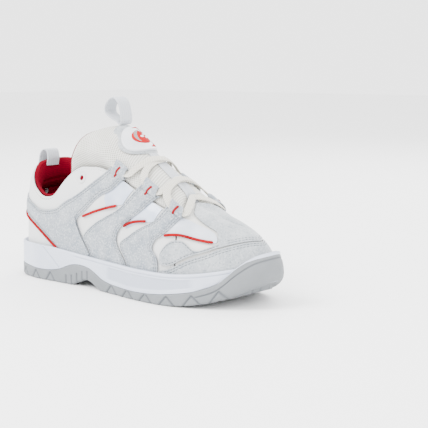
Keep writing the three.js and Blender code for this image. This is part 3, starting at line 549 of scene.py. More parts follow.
def woven(name, tone, shade, pitch_mm, angle, sheen=0.25):
    """Plait or webbing: yarns pitch_mm apart that cross at plus and minus angle degrees."""
    material, tree, bsdf = finish(name, 0.85, Sheen_Weight=sheen, Specular_IOR_Level=0.2)
    yarns = []
    for lean in (angle, -angle):
        spin = (0, 0, math.radians(lean))
        turned = add(tree, "Mapping", {"Vector": place_of(tree, "UV"), "Rotation": spin})
        flat = add(tree, "SeparateXYZ", {0: turned.outputs[0]})
        yarns.append(calc(tree, "SINE", calc(tree, "MULTIPLY", flat.outputs[1], 2 * math.pi / pitch_mm)))
    cross = steps(tree, calc(tree, "MAXIMUM", *yarns), -0.6, 1.0)
    tree.links.new(mix(tree, cross, linear(shade), linear(tone)), bsdf.inputs["Base Color"])
    bump(tree, bsdf, cross, 0.3, 0.6)
    return material


SUEDE = suede("split_suede_light_grey", "92979c", "757e88")
GUARD_SUEDE = suede("split_suede_pale_grey", "a3a7aa", "8b9196", 0.35)
LEATHER = full_grain("full_grain_leather_white", "c6c8ca")
VAMP_LEATHER = full_grain("full_grain_leather_ivory", "cbcac5", 0.6)
FILM = gloss("polyurethane_film_ice", "bfc8d8", "abb6cb", 0.22)
LEAF_FILM = gloss("polyurethane_film_pale", "c3c8d2", "b3bac6", 0.4)
PIPING = gloss("polyurethane_piping_red", "8c0410", "74040e", 0.6, 0, 0.06)
TACK_THREAD = woven("polyester_bar_tack_red", "8c0410", "5a030c", 0.6, 80, 0.0)
# grey thread, its colour darkened as painted shade of the stitch dents
STITCH_THREAD_AND_DENT_SHADE = gloss("polyester_sewing_thread_grey_with_painted_dent_shade", "5f666d", "525960", 0.5)
LINING = knit("ribbed_knit_crimson", "7c031c", "520212", 1.8, 1.1)
FOOTBED_KNIT = knit("brushed_knit_crimson", "700318", "46020e", 1.2, 1.2)
TONGUE_MESH = spacer_mesh("spacer_mesh_off_white", "c9c8c1", "8f8d84", 1.9)
WEBBING = woven("polyester_webbing_white", "c3c6cb", "9ba1a8", 1.1, 12)
LACE = woven("cotton_plait_natural", "d2cfc6", "9f9a8c", 1.5, 38)
# the last colour of each rubber serves for dust specks and for painted shade in the grooves
OUTSOLE_RUBBER = rubber("natural_rubber_grey", "74777a", "686c6f", 0.72, "4a4f54")
MIDSOLE_RUBBER = rubber("moulded_rubber_ice_white", "c3c9d6", "b5bccc", 0.5, "828a99")
BADGE = gloss("abs_badge_white", "cfd2d6", "c2c6cc", 0.3)
BADGE_RED = gloss("abs_badge_red", "a8040a", "90040a", 0.6, 0, 0.06)
BADGE_GREY = gloss("abs_badge_grey", "787b7b", "6a6d6d", 0.4)
BOARD = rubber("pressed_cellulose_board", "cbbf9f", "b8aa86", 0.8)
FOAM = rubber("open_cell_foam_grey", "5c6064", "4a4d51", 0.9)
print("finishes:", len(bpy.data.materials))


def settle(piece, material, slot, body, *nodes):
    """Gives a finished piece its material and the body it moves with, and hides the CAD parts it stands for;
    slot is not used.
    """
    piece.data.materials.clear()
    piece.data.materials.append(material)
    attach(piece, body)
    if nodes:
        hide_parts(*nodes)
    print(f"{piece.name}: {len(piece.data.polygons)} faces")
    return piece

# %% [markdown]
# ## The sole
# A cup sole is moulded in one go: a grey rubber outsole with its tread and toe bumper, and a white
# midsole that the upper is glued into. Both are one profile carried round the outline. The profile
# starts on the centre line underneath, runs out to the rim, up the wall, over the lip and back inside.
# Grooves are real: the wall steps in where a groove passes, and painted shade darkens the groove's colour.

# %% Sole helpers
ROUND = 1080  # points round the sole
q_round = np.arange(ROUND) / (ROUND / 2)
t_round = share_of(q_round)
edge_round = outline(q_round)
arc_round = np.concatenate([[0], np.cumsum(np.linalg.norm(np.diff(edge_round, axis=0), axis=1))])
arc_round = np.minimum(arc_round, arc_round[-1] - arc_round)  # length from the heel along either side


def wall_row(inset, height):
    """One loop of points at an inset from the outline; height is a function of x or an array."""
    flat = outline(q_round, np.broadcast_to(inset, (ROUND,)))
    z = height(flat[:, 0]) if callable(height) else height
    return np.column_stack([flat, np.broadcast_to(z, (ROUND,))])


def floor_rows(inset, shares, height):
    """Loops that shrink from the rim to the centre line; height is a function of x and y."""
    flat = outline(q_round, np.broadcast_to(inset, (ROUND,)))
    mirrored = outline(-q_round, np.broadcast_to(inset, (ROUND,)))
    rows = []
    for share in shares:
        xy = lerp((flat + mirrored) / 2, flat, share)
        rows.append(np.column_stack([xy, height(xy[:, 0], xy[:, 1])]))
    return rows


def groove(distance, width):
    """1 on the middle line of a groove, fading like a bell over its width."""
    return np.exp(-((distance / (width / 2)) ** 2))


def sole_piece(name, rows, shade=None):
    """The profile's loops as one mesh; shade, 0 to 1, is painted shade that darkens the grooves and is kept
    as its UV map.
    """
    points = np.array(rows)
    faces = grid_faces(len(rows), ROUND, wrap=True)
    if shade is None:
        shade = np.zeros(points.shape[:2])
    # painted shade in the grooves, kept as the first UV value
    dark = np.stack([shade, 0 * shade], -1).reshape(-1, 2)
    return make_piece(name, points.reshape(-1, 3), faces, dark)


# %% Outsole
SIPE_WIDTH, RIB_WIDTH, RIB_PITCH = 1.7, 1.6, 7.5
WAIST_START, WAIST_END, RIB_HIGH = 106, 144, 9
TREAD_PITCH, TREAD_WIDTH, TREAD_DEEP = 9, 2.2, 1.3
GROOVE_DEEP, LIP_ROUND, LIP_LINE = 1.1, 0.9, 5.2


def sipes(s, h):
    """Grooves of the wall: peaked pairs at the heel and forefoot, upright ribs at the waist."""
    def peaks(first, last, pitch, top, half):
        near = (s - first) % pitch - pitch / 2
        slope = top / half
        line = np.abs(h - top + slope * np.abs(near)) / np.hypot(1, slope)
        return groove(line, SIPE_WIDTH) * (s > first) * (s < last) * (h < top + 0.6)

    ribs = groove((s - WAIST_START) % RIB_PITCH - RIB_PITCH / 2, RIB_WIDTH)
    ribs = ribs * (s > WAIST_START) * (s < WAIST_END) * (h < RIB_HIGH)
    heel = peaks(14, 98, 21, 8.6, 6.5)
    ball = peaks(165, 305, 24, 8.4, 8.0)
    return np.maximum(np.maximum(heel, ball), ribs)


def tread(x, y):
    """Herringbone tread: zigzag grooves across the heel and the ball, a smooth waist and rim."""
    zigzag = np.abs((y + 200) % 22 - 11)
    line = (x + 0.9 * zigzag) % TREAD_PITCH - TREAD_PITCH / 2
    keep = np.clip(1 - np.sin(np.pi * np.clip((x - 84) / 58, 0, 1)) * 3, 0, 1)
    return TREAD_DEEP * groove(line, TREAD_WIDTH) * keep


def lean(x):
    """The bumper leans back at the toe."""
    return 4.0 * smooth(x, 255, 300)


def outsole():
    """Tread, rounded lower corner, grooved wall, lip and the floor that the midsole sits on."""
    x = edge_round[:, 0]
    low, wall_top = under(x), fox_top(x)
    corner = 2.2 + 8.5 * smooth(x, 250, 300)
    rows = floor_rows(corner + 0.6, np.linspace(0, 1, 36), lambda px, py: under(px) + tread(px, py))
    # painted shade: shade holds 0.6 of each tread groove's depth and the full cut of the wall grooves and the
    # lip line
    shade = [0.6 * tread(row[:, 0], row[:, 1]) for row in rows]
    for angle in np.linspace(0, np.pi / 2, 7):
        z = low + corner * (1 - np.cos(angle))
        cut = sipes(arc_round, z - low)
        rows.append(wall_row(corner * (1 - np.sin(angle)) + GROOVE_DEEP * cut, z))
        shade.append(cut)
    for share in np.linspace(0.03, 1, 30):
        z = lerp(low + corner, wall_top - LIP_ROUND, share)
        lip_line = 0.9 * groove(wall_top - z - LIP_LINE, 1.3) * smooth(x, 238, 256)
        cut = np.maximum(sipes(arc_round, z - low), lip_line)
        rows.append(wall_row(GROOVE_DEEP * cut + lean(x) * share**2, z))
        shade.append(cut)
    for angle in np.linspace(0.2, 1, 5) * np.pi / 2:
        inset = lean(x) + LIP_ROUND * (1 - np.cos(angle))
        rows.append(wall_row(inset, wall_top - LIP_ROUND * (1 - np.sin(angle))))
    inner = np.maximum(3.0, lean(x) + 1.3)
    rows.append(wall_row(inner, wall_top))
    rows.append(wall_row(inner, low + 4))
    rows += floor_rows(inner, [0.7, 0.3, 0], lambda px, py: under(px) + 4)
    shade += [np.zeros(ROUND)] * (len(rows) - len(shade))
    return sole_piece("grooved_outsole", rows, np.clip(shade, 0, 1))


settle(outsole(), OUTSOLE_RUBBER, "outsole_rubber", "shoe", "outsole")


# %% Midsole
def mould_lines(s, x, z, top):
    """Shallow lines of the white wall: a leaning groove at the heel and a sunk panel at the forefoot."""
    slant = groove((s - 88) + (z - 24) * 1.25, 1.5) * (z > fox_top(x) + 1)
    inside = smooth(s, 168, 174) * (1 - smooth(s, 268, 278))
    low, high = fox_top(x) + 3.2, top - 4.2
    panel = inside * smooth(z, low, low + 0.9) * (1 - smooth(z, high - 0.9, high))
    brow = groove(top - z - 3.0, 1.0) * smooth(s, 118, 126)
    return 0.8 * slant + 0.6 * panel + 0.7 * brow


def midsole():
    """The cup's base inside the outsole, its moulded wall, the rounded rim and the inner face."""
    x = edge_round[:, 0]
    foot, top = fox_top(x), cup_top(x)
    inner_wall = setback(t_round) - 0.1
    rows = floor_rows(3.3, [0, 0.5, 0.8, 1], lambda px, py: under(px) + 4.4)
    rows.append(wall_row(3.3, foot + 0.25))
    hold = np.minimum(lean(x) + 0.35 + 2.2 * smooth(x, 245, 262), inner_wall - 0.3)
    rows.append(wall_row(hold + 0.1, foot + 0.3))
    radius = np.minimum(1.3, (inner_wall - hold) * 0.45)
    # painted shade: shade holds 0.8 of the sunk depth of the moulded lines
    shade = [np.zeros(ROUND)] * len(rows)
    for share in np.linspace(0, 1, 34):
        z = lerp(foot + 0.35, top - radius, share)
        sunk = mould_lines(arc_round, x, z, top)
        rows.append(wall_row(hold + sunk, z))
        shade.append(0.8 * sunk)
    for angle in np.linspace(0.15, 1, 7) * np.pi / 2:
        rows.append(wall_row(hold + radius * (1 - np.cos(angle)), top - radius * (1 - np.sin(angle))))
    rows.append(wall_row(inner_wall, top - 0.2))
    rows.append(wall_row(inner_wall, board_top(x) - 2.5))
    rows += floor_rows(inner_wall, [0.7, 0.3, 0], lambda px, py: board_top(px) - 2.5)
    shade += [np.zeros(ROUND)] * (len(rows) - len(shade))
    return sole_piece("moulded_midsole", rows, np.clip(shade, 0, 1))


settle(midsole(), MIDSOLE_RUBBER, "midsole_rubber", "shoe", "midsole")


# %% Footbed: a knit-covered foam insert, dished under the heel
def footbed():
    inset = setback(t_round) + 8.6
    dish = lambda x, y: board_top(x) + 4.6 - 1.6 * np.exp(-((x - 55) / 35) ** 2 - (y / 22) ** 2)
    rows = floor_rows(inset, [0, 0.4, 0.8, 1], lambda x, y: board_top(x) + 0.3)
    rows.append(wall_row(inset - 0.5, lambda x: board_top(x) + 1.8))
    rows.append(wall_row(inset - 0.4, lambda x: board_top(x) + 3.8))
    rows += floor_rows(inset, np.linspace(1, 0, 24), dish)
    return sole_piece("knit_footbed", rows)


settle(footbed(), FOOTBED_KNIT, "red_textile", "shoe", "footbed")
for name, finish_made in [
    ("insole_board", BOARD), ("heel_counter", BOARD), ("toe_puff", BOARD),
    ("quarter_foam_outer", FOAM), ("quarter_foam_inner", FOAM),
]:
    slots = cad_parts[name].data.materials
    slots.clear()
    slots.append(finish_made)

# %% [markdown]
# ## The white leather under everything
# The quarters wrap the heel and the sides, and the vamp covers the forefoot. Their top line dips
# below the ankle and rises to the collar's eyelet. The collar stretch is backed with foam, so it
# bulges a little between the suede and its folded top edge, where one row of stitches holds it.

# %% Depths below the last's surface, from the outside in, in mm
SUEDE_TOP, SUEDE_THICK = -0.3, 1.2
FILM_TOP, FILM_THICK = -1.8, 0.5
LEATHER_TOP, LEATHER_THICK = -2.6, 1.3
LINING_TOP, LINING_THICK = -6.05, 1.2
SIDES = [("outer", 1), ("inner", -1)]
HEEL_SEAM = 0.008
VAMP_SEAM = 0.718
outer_top = table([
    (0, 0.43), (0.05, 0.415), (0.1, 0.37), (0.155, 0.305), (0.205, 0.28), (0.24, 0.3),
    (0.27, 0.375), (0.305, 0.44), (0.36, 0.47), (0.434, 0.49), (0.55, 0.51), (0.72, 0.55),
])
inner_top = table([
    (0, 0.43), (0.05, 0.437), (0.1, 0.437), (0.155, 0.415), (0.205, 0.4), (0.24, 0.405),
    (0.27, 0.42), (0.305, 0.445), (0.36, 0.47), (0.434, 0.49), (0.55, 0.51), (0.72, 0.55),
])


def top_line(t, side=1):
    """Top edge of the quarters as a share of the arc; the inner side dips less below the ankle."""
    return np.where(np.asarray(side) >= 0, outer_top(t), inner_top(t))


guard_line = table([
    (0.668, 0.1), (0.706, 0.135), (0.759, 0.23), (0.811, 0.31), (0.84, 0.36), (0.878, 0.42),
    (0.931, 0.485), (0.97, 0.503), (1, 0.508), (1.03, 0.503),
])
EYELET_T, EYELET_W = 0.337, 0.4


# %% Quarters
def quarter(label, side):
    """From the heel seam to the vamp; the collar band is puffed and dimpled round the eyelet."""
    t = lerp(HEEL_SEAM, VAMP_SEAM - 0.002, crowded(190))[:, None]
    v = crowded(90)[None, :]
    w = top_line(t, side) * v
    q = t * side + 0 * w
    at = skin(q, w)
    centre = skin(EYELET_T * side, EYELET_W)
    away = np.linalg.norm(at - centre, axis=-1)
    band = smooth(w, 0.18, 0.33) * (1 - smooth(t, 0.42, 0.47))
    puff = 1.7 * band * np.sin(np.pi * np.clip(v, 0, 1)) ** 0.4
    hole = -1.6 * (1 - smooth(away, 1.6, 2.4))
    hole = hole - 0.35 * groove(away - 5.2, 1.2) + 0.3 * groove(away - 3.4, 1.6)
    low_end = 0.9 * smooth(v, 0.985, 1.0)
    raised = puff + hole - low_end
    return laid(f"leather_quarter_{label}", q, w, LEATHER_TOP, LEATHER_THICK, 0.6, 0, (2.6,), raised)


for label, side in SIDES:
    settle(quarter(label, side), LEATHER, "white_leather", "shoe", f"quarter_{label}")


def throat(rear, front):
    """Rear edge of a forefoot sheet: rear at the sides, front over the foot, eased between them."""
    return lambda w: lerp(rear, front, smooth(w, 0.56, 0.8))


def toe_grid(rows, cols, rear, low):
    """Grids of q and w round the toe from one rear edge to the other, up to the ridge."""
    reach = (1 - np.abs(np.linspace(-1, 1, rows)))[:, None]
    v = crowded(cols)[None, :]
    t = lerp(rear(np.zeros_like(v)), 1, reach) + 0 * v
    for _ in range(5):
        w = lerp(low(t), 1, v)
        t = lerp(rear(w), 1, reach)
    before = (np.arange(rows) <= (rows - 1) / 2)[:, None]
    return np.where(before, t, 2 - t), w


def zipped_shell(name, q, w, depth, thickness, seams=(), extra=0.0, puff=0.0):
    """A sheet that meets itself along the ridge of the toe; its rims are the rear edges and the lower one."""
    base = skin(q, w)
    along, across = lengths(base)
    distance = np.minimum(np.minimum(along, along[-1:] - along), across)
    top = depth - roll(distance, 0.5) + puff * (1 - np.exp(-((distance / 7) ** 2))) + extra
    for seam in seams:
        top = top - 0.28 * np.exp(-(((distance - seam) / 0.6) ** 2))
    normal = outward(q, w)
    return shell(name, base + normal * top[..., None], base + normal * (depth - thickness), True)


q_vamp, w_vamp = toe_grid(241, 60, throat(VAMP_SEAM + 0.002, 0.762), lambda t: 0 * t)
vamp = zipped_shell("leather_vamp", q_vamp, w_vamp, LEATHER_TOP, LEATHER_THICK)
settle(vamp, VAMP_LEATHER, "white_leather", "shoe", "vamp")

# %% Linings: knit fabric glued inside, seen through the opening
for label, side in SIDES:
    t = lerp(HEEL_SEAM, 0.725, np.linspace(0, 1, 120))[:, None]
    padded_share = 1 - smooth(t, 0.4, 0.42)
    w = (top_line(t, side) - 0.01 - 0.115 * padded_share) * np.linspace(0, 1, 40)[None, :]
    piece = laid(f"knit_quarter_lining_{label}", t * side + 0 * w, w, LINING_TOP, LINING_THICK, 0.3)
    settle(piece, LINING, "red_textile", "shoe", f"quarter_lining_{label}")
q_in, w_in = toe_grid(121, 30, throat(0.735, 0.805), lambda t: 0 * t)
vamp_lining = zipped_shell("knit_vamp_lining", q_in, w_in, LINING_TOP, LINING_THICK)
settle(vamp_lining, LINING, "red_textile", "shoe", "vamp_lining")

# %% [markdown]
# ## The padded collar
# Foam wrapped in crimson knit, sewn along the top line. It is thickest at the back, where it holds
# the heel, swells over a row of quilting below and thins towards the tongue.

# %% Collar
pad_thickness = table([(0, 1), (0.16, 1), (0.22, 0.8), (0.29, 0.35), (0.34, 0), (1, 0)])


def collar():
    q = lerp(-0.4, 0.4, np.linspace(0, 1, 240))[:, None]
    v = crowded(56)[None, :]
    top = top_line(np.abs(q), q)
    lip_high = 0.012 - 0.03 * smooth(np.abs(q), 0.24, 0.3)
    w = lerp(top - 0.14, top + lip_high, v)
    q = q + 0 * w
    round_in = np.sin(np.pi * np.clip(v, 0.0, 1.0)) ** 0.55
    ease = 1 - np.abs(q / 0.4) ** 12
    swell = 5.6 * pad_thickness(np.abs(q)) * round_in * (1 - 0.12 * groove(v - 0.34, 0.1)) * ease
    base, normal = skin(q, w), outward(q, w)
    lip = smooth(v, 0.86, 1.0) * 1.9
    outer = base + normal * (LINING_TOP + lip)[..., None]
    inner = base + normal * (LINING_TOP - LINING_THICK * np.maximum(round_in, 0.35) - swell)[..., None]
    return shell("knit_collar_padding", outer, inner)


collar_piece = settle(collar(), LINING, "red_textile", "shoe", "collar_padding")

# %% [markdown]
# ## Suede overlays
# Three straps rise from the sole on each side, and their ends fold over to hold the lace. A guard goes
# round the toe, and a third layer covers the toe box. Each is a sheet between two drawn edges, with
# rolled rims, and each is sewn with two rows of thread in shallow dents.

# %% Edges of the suede pieces, as (t, w) on the outer side
HEEL_TOP = [
    (0.033, 0.3), (0.13, 0.25), (0.191, 0.22), (0.248, 0.23), (0.284, 0.27), (0.34, 0.33),
    (0.413, 0.45), (0.449, 0.56),
]
HEEL_LOW = [
    (0.033, 0.235), (0.12, 0.19), (0.193, 0.14), (0.246, 0.085), (0.292, 0.035), (0.35, 0.03),
    (0.398, 0.03), (0.379, 0.085), (0.352, 0.13), (0.331, 0.17), (0.34, 0.21), (0.372, 0.26),
    (0.425, 0.35), (0.468, 0.42), (0.511, 0.56),
]
MIDDLE_REAR = [
    (0.406, 0.03), (0.387, 0.085), (0.366, 0.135), (0.403, 0.2), (0.449, 0.26), (0.496, 0.33),
    (0.529, 0.42), (0.572, 0.6),
]
MIDDLE_FRONT = [
    (0.554, 0.03), (0.536, 0.09), (0.507, 0.15), (0.5, 0.19), (0.514, 0.25), (0.549, 0.32),
    (0.592, 0.42), (0.642, 0.6),
]
FRONT_REAR = [
    (0.562, 0.03), (0.544, 0.095), (0.517, 0.165), (0.551, 0.23), (0.589, 0.3), (0.628, 0.37),
    (0.652, 0.44), (0.679, 0.59),
]
FRONT_FRONT = [
    (0.661, 0.03), (0.666, 0.1), (0.661, 0.17), (0.643, 0.22), (0.652, 0.28), (0.673, 0.33),
    (0.702, 0.42), (0.736, 0.59),
]
STRAPS = {
    "heel_strap": (HEEL_TOP, HEEL_LOW, 200, 60),
    "middle_strap": (MIDDLE_REAR, MIDDLE_FRONT, 130, 46),
    "front_strap": (FRONT_REAR, FRONT_FRONT, 130, 46),
}
LOOPS = {
    "heel_strap": (0.479, 0.555, 0.024),
    "middle_strap": (0.604, 0.61, 0.027),
    "front_strap": (0.708, 0.6, 0.022),
}


# %% Straps and their folded ends
def join(first, *others):
    """One object from several closed meshes."""
    for other in others:
        first.data.materials.clear()
        other.data.materials.clear()
    with bpy.context.temp_override(active_object=first, selected_editable_objects=[first, *others]):
        bpy.ops.object.join()
    return first


def fold(name, side, t, w, half):
    """The folded strap end: a flattened tube round the lace, its wall rolled at both mouths."""
    u = crowded(26)[:, None]
    angle = np.linspace(0, 2 * np.pi, 41)[:-1][None, :]
    per_w = STEP / np.linalg.norm(skin(t * side, w + STEP) - skin(t * side, w))
    q = (t + lerp(-half, half, u)) * side + 0 * angle
    mouth = 0.7 * (roll(np.minimum(u, 1 - u) * 2 * half * 215, 1.1))
    squarer = np.sign(np.cos(angle)) * np.abs(np.cos(angle)) ** 0.8
    rings = []
    for across, high, soften in ((6.0, 2.6, 1), (4.7, 1.45, -0.6)):
        wide = w + (across - mouth * soften * 0.6) * squarer * per_w
        depth = 0.2 + (high - mouth * soften * 0.6) * np.sin(angle) + 0 * u
        rings.append(skin(q, wide) + outward(q, wide) * depth[..., None])
    outer, inner = rings
    points = np.concatenate([outer.reshape(-1, 3), inner.reshape(-1, 3)])
    rows, cols = outer.shape[:2]
    half_count = rows * cols
    ids = np.arange(half_count).reshape(rows, cols)
    mouths = []
    for row in (ids[0], ids[-1]):
        nxt = np.roll(row, -1)
        mouths.append(np.stack([row, nxt, nxt + half_count, row + half_count], -1))
    faces = np.concatenate([
        grid_faces(rows, cols, wrap=True), grid_faces(rows, cols, half_count, wrap=True)[:, ::-1], *mouths,
    ])
    return make_piece(name, points, faces, np.zeros((len(points), 2)))


for strap, (rear, front, rows, cols) in STRAPS.items():
    for label, side in SIDES:
        q, w = between(edge(rear, side), edge(front, side), rows, cols)
        piece = laid(f"suede_{strap}_{label}", q, w, SUEDE_TOP, SUEDE_THICK, 0.6, 0.5, (1.9, 4.3))
        join(piece, fold(f"fold_{strap}_{label}", side, *LOOPS[strap]))
        settle(piece, SUEDE, "grey_suede", "shoe", f"{strap}_{label}")

# %% Toe guard, toe box and backstay
q = lerp(0.67, 1.33, crowded(260))[:, None]
w = lerp(0.03, guard_line(share_of(q)) - 0.008, crowded(44)[None, :])
guard = laid("suede_toe_guard", q + 0 * w, w, SUEDE_TOP, SUEDE_THICK, 0.6, 0.3, (1.9, 4.0))
settle(guard, GUARD_SUEDE, "grey_suede", "shoe", "toe_guard")

FINGER_LOW = [(0.672, 0.135), (0.708, 0.15), (0.759, 0.245), (0.811, 0.325), (0.862, 0.41)]
FINGER_HIGH = [
    (0.672, 0.205), (0.685, 0.262), (0.708, 0.325), (0.738, 0.358), (0.757, 0.335), (0.77, 0.31),
    (0.79, 0.32), (0.826, 0.385), (0.862, 0.46),
]
box_rear = lambda w: lerp(0.845, 0.768, smooth(w, 0.56, 0.72))
q_box, w_box = toe_grid(261, 60, box_rear, lambda t: guard_line(t) + 0.008)
toe_box = zipped_shell("suede_toe_box", q_box, w_box, SUEDE_TOP, SUEDE_THICK, (1.9, 4.0), 0, 0.3)
for label, side in SIDES:
    q, w = between(edge(FINGER_LOW, side), edge(FINGER_HIGH, side), 110, 40)
    join(toe_box, laid(f"finger_{label}", q, w, SUEDE_TOP, SUEDE_THICK, 0.5, 0.3, (1.6,)))
settle(toe_box, GUARD_SUEDE, "grey_suede", "shoe", "vamp_suede")

q = lerp(-0.029, 0.029, crowded(40))[:, None]
w = lerp(0.035, 0.36, crowded(90))[None, :]
backstay = laid("suede_backstay", q + 0 * w, w + 0 * q, SUEDE_TOP, SUEDE_THICK, 0.6, 0.3, (1.8,))
settle(backstay, SUEDE, "grey_suede", "shoe", "heel_backstay")

# %% [markdown]
# ## Windows and piping
# Between the straps the shoe shows film-coated cloth above and plain white leather below, and a red
# cord covers the joint. The cord is round, sewn down at both ends, and stands proud of the film.

# %% Film panels
WINDOWS = {
    "rear_window": (FILM, [(0.36, 0.22), (0.42, 0.28), (0.51, 0.37)],
                    [(0.4, 0.33), (0.45, 0.41), (0.49, 0.495), (0.54, 0.5)]),
    "middle_window": (FILM, [(0.535, 0.26), (0.58, 0.325), (0.635, 0.385)],
                      [(0.57, 0.4), (0.6, 0.46), (0.62, 0.515), (0.66, 0.52)]),
    "front_window": (LEAF_FILM, [(0.665, 0.305), (0.7, 0.36), (0.75, 0.405), (0.8, 0.42), (0.838, 0.43)],
                     [(0.7, 0.43), (0.733, 0.57), (0.78, 0.6), (0.82, 0.59), (0.84, 0.53), (0.843, 0.47)]),
}
for name, (material, low, high) in WINDOWS.items():
    for label, side in SIDES:
        q, w = between(edge(low, side), edge(high, side), 60, 40)
        raised = 0.8 if name == "front_window" else 0.4
        piece = laid(f"film_{name}_{label}", q, w, FILM_TOP, FILM_THICK, 0.3, raised)
        settle(piece, material, "gloss_film", "shoe", f"{name}_{label}")


# %% Ribbons: one section carried along a line
def ribbon(name, line, up, width, thickness, square=0.75, sides=14, tip=0.0, closed=False):
    """A rounded flat section carried along a line; up is the way that its flat side faces.

    The section is a superellipse; tip is the length over which each end is rounded off.
    """
    before, after = np.roll(line, 1, 0), np.roll(line, -1, 0)
    if not closed:
        before[0], after[-1] = line[0], line[-1]
    ahead = unit(after - before)
    side = unit(np.cross(ahead, up))
    rise = np.cross(side, ahead)
    angle = np.linspace(0, 2 * np.pi, sides + 1)[:-1]
    flat = np.sign(np.cos(angle)) * np.abs(np.cos(angle)) ** square * width / 2
    high = np.sign(np.sin(angle)) * np.abs(np.sin(angle)) ** square * thickness / 2
    run = np.concatenate([[0], np.cumsum(np.linalg.norm(np.diff(line, axis=0), axis=1))])
    size = np.ones(len(line))
    if not closed:
        near = np.clip(np.minimum(run, run[-1] - run) / max(tip, 1e-6), 0, 1)
        size = np.sqrt(np.maximum(1 - (1 - near) ** 2, 0))
    points = line[:, None, :] + side[:, None, :] * (size[:, None] * flat)[..., None]
    points = points + rise[:, None, :] * (size[:, None] * high)[..., None]
    faces = grid_faces(len(line), sides, wrap=True)
    if closed:
        last, ring = (len(line) - 1) * sides + np.arange(sides), np.arange(sides)
        faces = np.concatenate([faces, np.stack([last, ring, np.roll(ring, -1), np.roll(last, -1)], -1)])
    shape = (len(line), sides)
    uv = np.stack([np.broadcast_to(flat, shape), np.broadcast_to(run[:, None], shape)], -1)
    return make_piece(name, points.reshape(-1, 3), faces, uv.reshape(-1, 2))


def on_last(points, count, side=1):
    """A drawn path on the last: q, w, the points themselves and the outward normals."""
    q, w = edge(points, side)(np.linspace(0, 1, count))
    return q, w, skin(q, w), outward(q, w)


PIPING_PATHS = {
    "rear_piping": [(0.358, 0.222), (0.4, 0.258), (0.434, 0.29), (0.491, 0.348)],
    "middle_piping": [(0.527, 0.266), (0.56, 0.315), (0.613, 0.368)],
    "front_piping": [(0.68, 0.335), (0.733, 0.4), (0.785, 0.42), (0.83, 0.43)],
    "heel_piping": [(0.036, 0.222), (0.12, 0.175), (0.193, 0.125), (0.243, 0.073), (0.28, 0.035)],
}
for name, path in PIPING_PATHS.items():
    for label, side in SIDES:
        q, w, at, up = on_last(path, 90, side)
        high = -0.9 if name == "heel_piping" else -0.75
        piece = ribbon(f"cord_{name}_{label}", at + up * high, up, 2.5, 2.1, 1.0, 14, 1.6)
        settle(piece, PIPING, "red_trim", "shoe", f"{name}_{label}")


# %% Eyelet rings: an embossed washer with a dark red slot behind it
def spread(q, w, a, b, depth):
    """Points of a flat drawing laid on the last round (q, w): a runs along the foot, b across it, in mm."""
    per_q = STEP / np.linalg.norm(skin(q + STEP, w) - skin(q, w))
    per_w = STEP / np.linalg.norm(skin(q, w + STEP) - skin(q, w))
    return lift(q + a * per_q, w + b * per_w, depth)


def disc(name, q, w, radius_a, radius_b, depth, hollow=0.0, rings=10, spokes=48):
    """A round or oval plate; depth(share) gives outer and inner depth from its middle to its rim."""
    share = lerp(hollow, 1, crowded(rings))[:, None]
    angle = np.linspace(0, 2 * np.pi, spokes + 1)[:-1][None, :]
    a, b = radius_a * share * np.cos(angle), radius_b * share * np.sin(angle)
    top, low = depth(share + 0 * angle)
    layers = [spread(q, w, a, b, top), spread(q, w, a, b, low)[::-1]]
    points = np.concatenate(layers)
    count = rings * 2
    faces = grid_faces(count, spokes, wrap=True)
    if hollow:
        first, last = np.arange(spokes), (count - 1) * spokes + np.arange(spokes)
        faces = np.concatenate([faces, np.stack([last, first, np.roll(first, -1), np.roll(last, -1)], -1)])
    uv = np.concatenate([np.stack([a, b], -1), np.stack([a, b], -1)[::-1]])
    return make_piece(name, points.reshape(-1, 3), faces, uv.reshape(-1, 2))


for label, side in SIDES:
    ring_shape = lambda s: (-0.35 - 0.6 * np.abs(2 * (s - 0.5) / 0.5 - 1) ** 2, -2.6 + 0 * s)
    ring = disc(f"leather_eyelet_ring_{label}", EYELET_T * side, EYELET_W, 4.6, 4.9, ring_shape, 0.5)
    settle(ring, LEATHER, "white_leather", "shoe", f"eyelet_ring_{label}")
    slot_shape = lambda s: (-1.1 + 0 * s, -4.0 + 0 * s)
    slot_piece = disc(f"knit_eyelet_slot_{label}", EYELET_T * side, EYELET_W, 1.9, 2.7, slot_shape)
    settle(slot_piece, FOOTBED_KNIT, "red_textile", "shoe")

# %% [markdown]
# ## The tongue
# A thick pad of spacer mesh over foam, widest above the collar, where its wings swell out over the
# leather. Its red lining shows as a rolled edge at the back. It is hinged where it meets the vamp, and
# its pieces move with the tongue's own body; the pad narrows towards that joint.

# %% Tongue pad
TONGUE_ROOT, TONGUE_PAD = 0.78, 8.0
tongue_side = table([(0.27, 0.39), (0.338, 0.42), (0.43, 0.43), (0.55, 0.45), (0.68, 0.53), (0.78, 0.74)])


def tongue_outer(t, w):
    """Depth of the mesh: tucked in below the collar, swollen above it, level with the last on top."""
    folded = 1 - np.abs(1 - w)
    collar_edge = np.where(t < 0.72, top_line(t, 1 - w), 0.55)
    free = 1 - smooth(t, 0.4, 0.46)
    rise = smooth(folded, collar_edge - 0.03, collar_edge + lerp(0.03, 0.09, free))
    crown = lerp(-2.9, -1.8, smooth(folded, 0.7, 0.85)) - 5.6 * smooth(t, 0.715, 0.762)
    swell = 7.5 * np.exp(-(((folded - 0.6) / 0.15) ** 2)) * free * (1 + 0.25 * smooth(0.36 - t, 0, 0.06))
    return lerp(-9.5, crown + swell, rise)


def tongue_grid(rows, cols):
    u, v = crowded(rows)[:, None], crowded(cols)[None, :]
    top = 0.334 - 0.064 * np.abs(2 * v - 1) ** 1.5
    t = lerp(top, TONGUE_ROOT, u)
    wing = tongue_side(t)
    return t, lerp(wing, 2 - wing, v)


